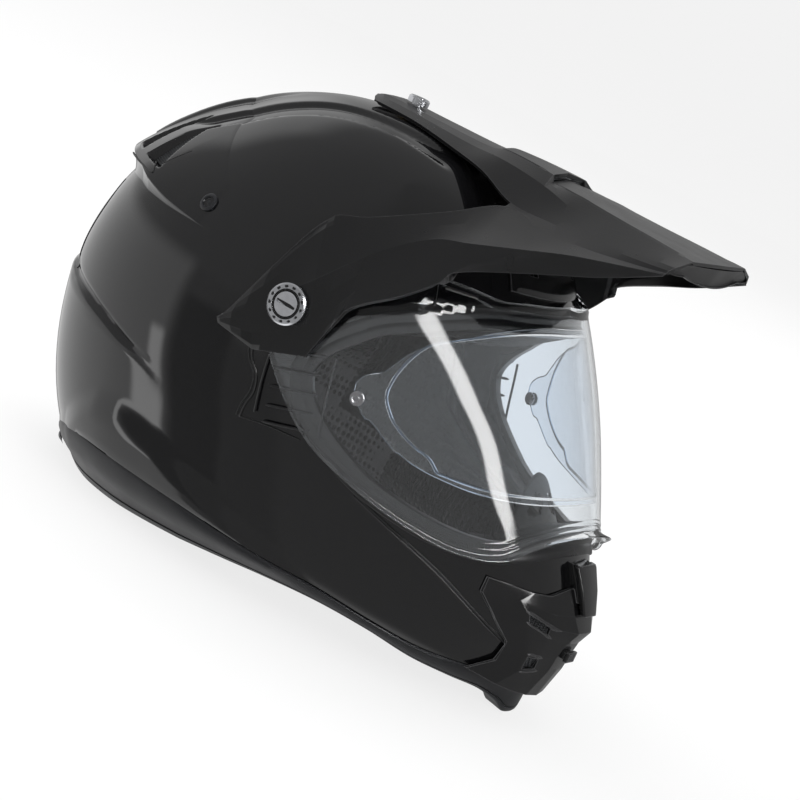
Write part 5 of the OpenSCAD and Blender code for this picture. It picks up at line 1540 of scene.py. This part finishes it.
def make_curtain():
    """Thin cloth across the underside of the chin bar, with a bound free edge."""
    phi = np.linspace(-30, 30, 61)
    u = np.linspace(0, 1, 19)[:, None]

    def sheet(extra):
        p = rim_pt(phi[None] + 0 * u, -12.8 - 24 * u, 5.3 + extra + 5 * np.sin(u * math.pi / 2))
        p[..., 2] += 0.35 * np.sin(phi * 0.9) * u
        return p

    top, low = sheet(1.5), sheet(0.5)
    shape = grid_faces(top, low)
    obj = piece("chin_curtain_cloth", shape, CLOTH, nodes=["chin_curtain"], sharp=0)
    middle = 0.5 * (top + low)
    hem = piece("chin_curtain_hem", tube(middle[-1], 1.3), CLOTH, sharp=0)


STRAP_X = 6.0
WEB_W, WEB_T = 22.0, 1.6


WEB_SECTION = [(-1, -0.7), (-0.96, -1), (0.96, -1), (1, -0.7), (1, 0.7), (0.96, 1), (-0.96, 1), (-1, 0.7)]
STRAP_END_Z = 5.3


def strap_path(end_y):
    """The strap's run as distance from the middle and height: down inside the shell and under."""
    under = float(side_y(STRAP_X, 14.0))
    high = [[float(side_y(STRAP_X, z)) - SHELL_WALL - 0.4 - WEB_T / 2 - 0.2 * k, z]
            for k, z in enumerate((56.0, 44.0, 23.0))]
    low = [[under - 12, 17.2], [under - 22, 13], [under - 32, 10],
           [end_y + 8, STRAP_END_Z], [end_y, STRAP_END_Z]]
    return np.array(high + low)


def make_strap(word, side, end_y):
    """One chin strap in flat webbing, with rows of stitches near its end."""
    line = resample(strap_path(end_y), 90)
    along = unit(np.gradient(line, axis=0))
    across = np.stack([-along[:, 1], along[:, 0]], -1)

    def placed(x, q):
        return np.stack([np.full(len(q), STRAP_X + x), side * q[:, 0], q[:, 1]], -1)

    curves = [placed(s * WEB_W / 2, line + across * d * WEB_T / 2) for s, d in WEB_SECTION]
    web = bar_through(curves, False, side > 0)
    piece(f"webbing_{word}", web, WEBBING, nodes=[f"strap_{word}"], sharp=0)
    stitch = []
    for row in (-8.5, -5.5, 5.5, 8.5):
        for k in range(4, 22, 3):
            a, b = line[-k] + across[-k] * -0.9, line[-k - 2] + across[-k - 2] * -0.9
            stitch.append(tube(placed(row, np.array([a, (a + b) / 2, b])), 0.3, 5))
    piece(f"strap_stitches_{word}", merged(*stitch), CLOTH, sharp=0)


for make in (
        make_shell, make_peak, make_peak_lip, make_peak_meshes, make_shield, make_shield_details, make_insert,
        make_insert_seal, make_insert_pins, make_trim, make_gasket, make_sill_deck, make_seams,
        make_chin_housing, make_chin_meshes, make_chin_flap, make_shutter, make_brow_vent, make_hood,
        make_hood_wires, make_hood_lines, make_fin, make_plugs, make_screw_painted_shade, make_liners,
        make_cheek_pads, make_neck_roll, make_chin_foam, make_curtain):
    make()
make_strap("left", 1, 52.3)
make_strap("right", -1, 18.3)
dress_frame()


# Stage: pale floor and backdrop, soft lights, and a dome that only reflections see
WHITE = (1, 1, 1, 1)
FLOOR_GLOW = 0.8
ROOM_LIGHT = 0.45
LAMP_TARGET = (0.0, 0.0, 0.13)
FLOOR_SIZE = 30


def make_world():
    """White where it is seen, a lower even light on everything else."""
    world = bpy.data.worlds.new("studio")
    bpy.context.scene.world = world
    tree = Tree(world)
    tree.nodes.clear()
    room, white = (tree.add("Background", {"Color": WHITE, "Strength": power}) for power in (ROOM_LIGHT, 1.0))
    tree.add("OutputWorld", {"Surface": tree.mixed(tree.seen_plainly(), room, white)})


def make_floor():
    """A pale floor that reads as white and keeps a soft shadow."""
    look = Look("pale floor", (0.86, 0.86, 0.86), 0.9)
    look.tint(look.noise(0.5), (0.85, 0.85, 0.85), (0.87, 0.87, 0.87))
    glow = look.add("Emission", {"Color": WHITE})
    share = look.math("MULTIPLY", look.seen_plainly(), FLOOR_GLOW)
    look.put(look.surface, look.mixed(share, look.shader, glow))
    bpy.ops.mesh.primitive_plane_add(size=FLOOR_SIZE, location=(0, 0, 0))
    floor = bpy.context.active_object
    floor.name = "floor"
    floor.visible_glossy = False
    floor.data.materials.append(look.material)


def light(name, place, size, power):
    """A soft lamp that lights the object and stays out of its reflections."""
    data = bpy.data.lights.new(name, "AREA")
    data.shape = "RECTANGLE"
    data.size, data.size_y = size
    data.energy = power
    obj = bpy.data.objects.new(name, data)
    bpy.context.scene.collection.objects.link(obj)
    obj.location = place
    obj.rotation_euler = (Vector(LAMP_TARGET) - Vector(place)).to_track_quat("-Z", "Y").to_euler()
    obj.visible_camera = obj.visible_glossy = obj.visible_transmission = False


# Studio as reflections see it: soft-edged panels by heading and height in degrees, painted in
# order: heading, half width, height, half height, softness, tone. The streak is a lamp from one
# heading and height to another, its width and length as shares of the dome's radius.
WALL_TONE = 0.36
PANELS = [
    (0, 75, 62, 45, 22, 0.30),
    (0, 180, -46, 49, 2, 0.33),
    (180, 47, -44, 48, 3, 0.8),
    (-137, 3, -29, 12, 1.5, 2.2),
    (-121, 9, -28, 23, 2, 0.2),
    (-103, 9, -38, 27, 3, 0.28),
    (150, 21, 29, 21, 8, 0.8),
    (98, 16, 38, 16, 8, 0.8),
    (-107, 5, -4, 5, 3, 0.5),
    (0, 180, -80, 16, 5, 1.1),
]
STREAK = ((-35, 38), (-6, 19))
STREAK_TONE = 19.0
STREAK_WIDTH = 0.065
STREAK_LENGTH = 0.915
DOME_RADIUS = 2.6
DOME_CENTRE = (0, 0, 0.12)


def toward(heading, height):
    """Unit vector of the drawn frame from a heading and a height in degrees."""
    a, e = math.radians(heading), math.radians(height)
    return np.array([math.cos(a) * math.cos(e), math.sin(a) * math.cos(e), math.sin(e)])


class Dome(Tree):
    """Node tree of the studio walls: each panel is mixed over those before it."""

    def __init__(self):
        self.material = bpy.data.materials.new("studio walls")
        super().__init__(self.material)
        self.nodes.clear()
        self.coords = self.add("TexCoord").outputs["Object"]

    def dot(self, direction):
        """How far the place on the dome lies along a direction of the drawn frame."""
        inputs = {0: self.coords, 1: Vector(turn(direction))}
        return self.add("VectorMath", inputs, operation="DOT_PRODUCT").outputs["Value"]

    def ramp(self, value, start, end):
        """Soft step from 0 at start to 1 at end."""
        inputs = {"Value": value, "From Min": start, "From Max": end}
        return self.add("MapRange", inputs, interpolation_type="SMOOTHSTEP").outputs["Result"]

    def edge(self, angle, half, softness):
        """1 within half an opening in degrees, with a soft edge."""
        half, softness = math.radians(half), math.radians(softness)
        return self.ramp(self.math("ABSOLUTE", angle), half + softness, half - softness)

    def over(self, below, mask, tone):
        """Tone below where the mask is 0, the panel's tone where it is 1."""
        left = self.math("MULTIPLY", below, self.math("SUBTRACT", 1.0, mask))
        return self.math("ADD", left, self.math("MULTIPLY", mask, tone))

    def panel(self, heading, half_width, height, half_height, softness):
        """Mask of a panel: a band of headings times a band of heights."""
        rise = self.math("ARCSINE", self.dot(np.array([0, 0, 1.0])))
        high = self.edge(self.math("SUBTRACT", rise, math.radians(height)), half_height, softness)
        if half_width >= 180:
            return high
        aside = self.math("ARCTAN2", self.dot(toward(heading + 90, 0)), self.dot(toward(heading, 0)))
        return self.math("MULTIPLY", self.edge(aside, half_width, softness), high)


def make_dome():
    """A studio dome that only reflections see, with a narrow bright lamp across the front."""
    bpy.ops.mesh.primitive_uv_sphere_add(segments=96, ring_count=48, radius=1)
    dome = bpy.context.active_object
    dome.name = "studio_dome"
    dome.location = DOME_CENTRE
    dome.scale = (DOME_RADIUS,) * 3
    walls = Dome()
    tone = WALL_TONE
    for *place, value in PANELS:
        tone = walls.over(tone, walls.panel(*place), value)
    first, last = (toward(*end) for end in STREAK)
    across = walls.math("ABSOLUTE", walls.dot(unit(np.cross(first, last))))
    along = walls.dot(unit(first + last))
    streak = walls.math("MULTIPLY", walls.ramp(across, STREAK_WIDTH * 1.3, STREAK_WIDTH * 0.7),
                        walls.ramp(along, STREAK_LENGTH, STREAK_LENGTH + 0.03))
    glow = walls.add("Emission", {"Strength": walls.over(tone, streak, STREAK_TONE)})
    walls.add("OutputMaterial", {"Surface": glow.outputs[0]})
    dome.data.materials.append(walls.material)
    dome.visible_camera = dome.visible_diffuse = dome.visible_shadow = dome.visible_transmission = False


make_world()
make_floor()
make_dome()
light("top softbox", (-0.5, 0.1, 1.7), (1.4, 1.4), 26)
light("rear softbox", (-1.6, -0.7, 0.9), (0.9, 1.3), 12)
light("front softbox", (1.5, -1.0, 0.9), (0.8, 1.0), 9)
light("left softbox", (0.3, 1.7, 0.8), (1.0, 1.0), 9)

bpy.context.scene.view_settings.view_transform = "Standard"
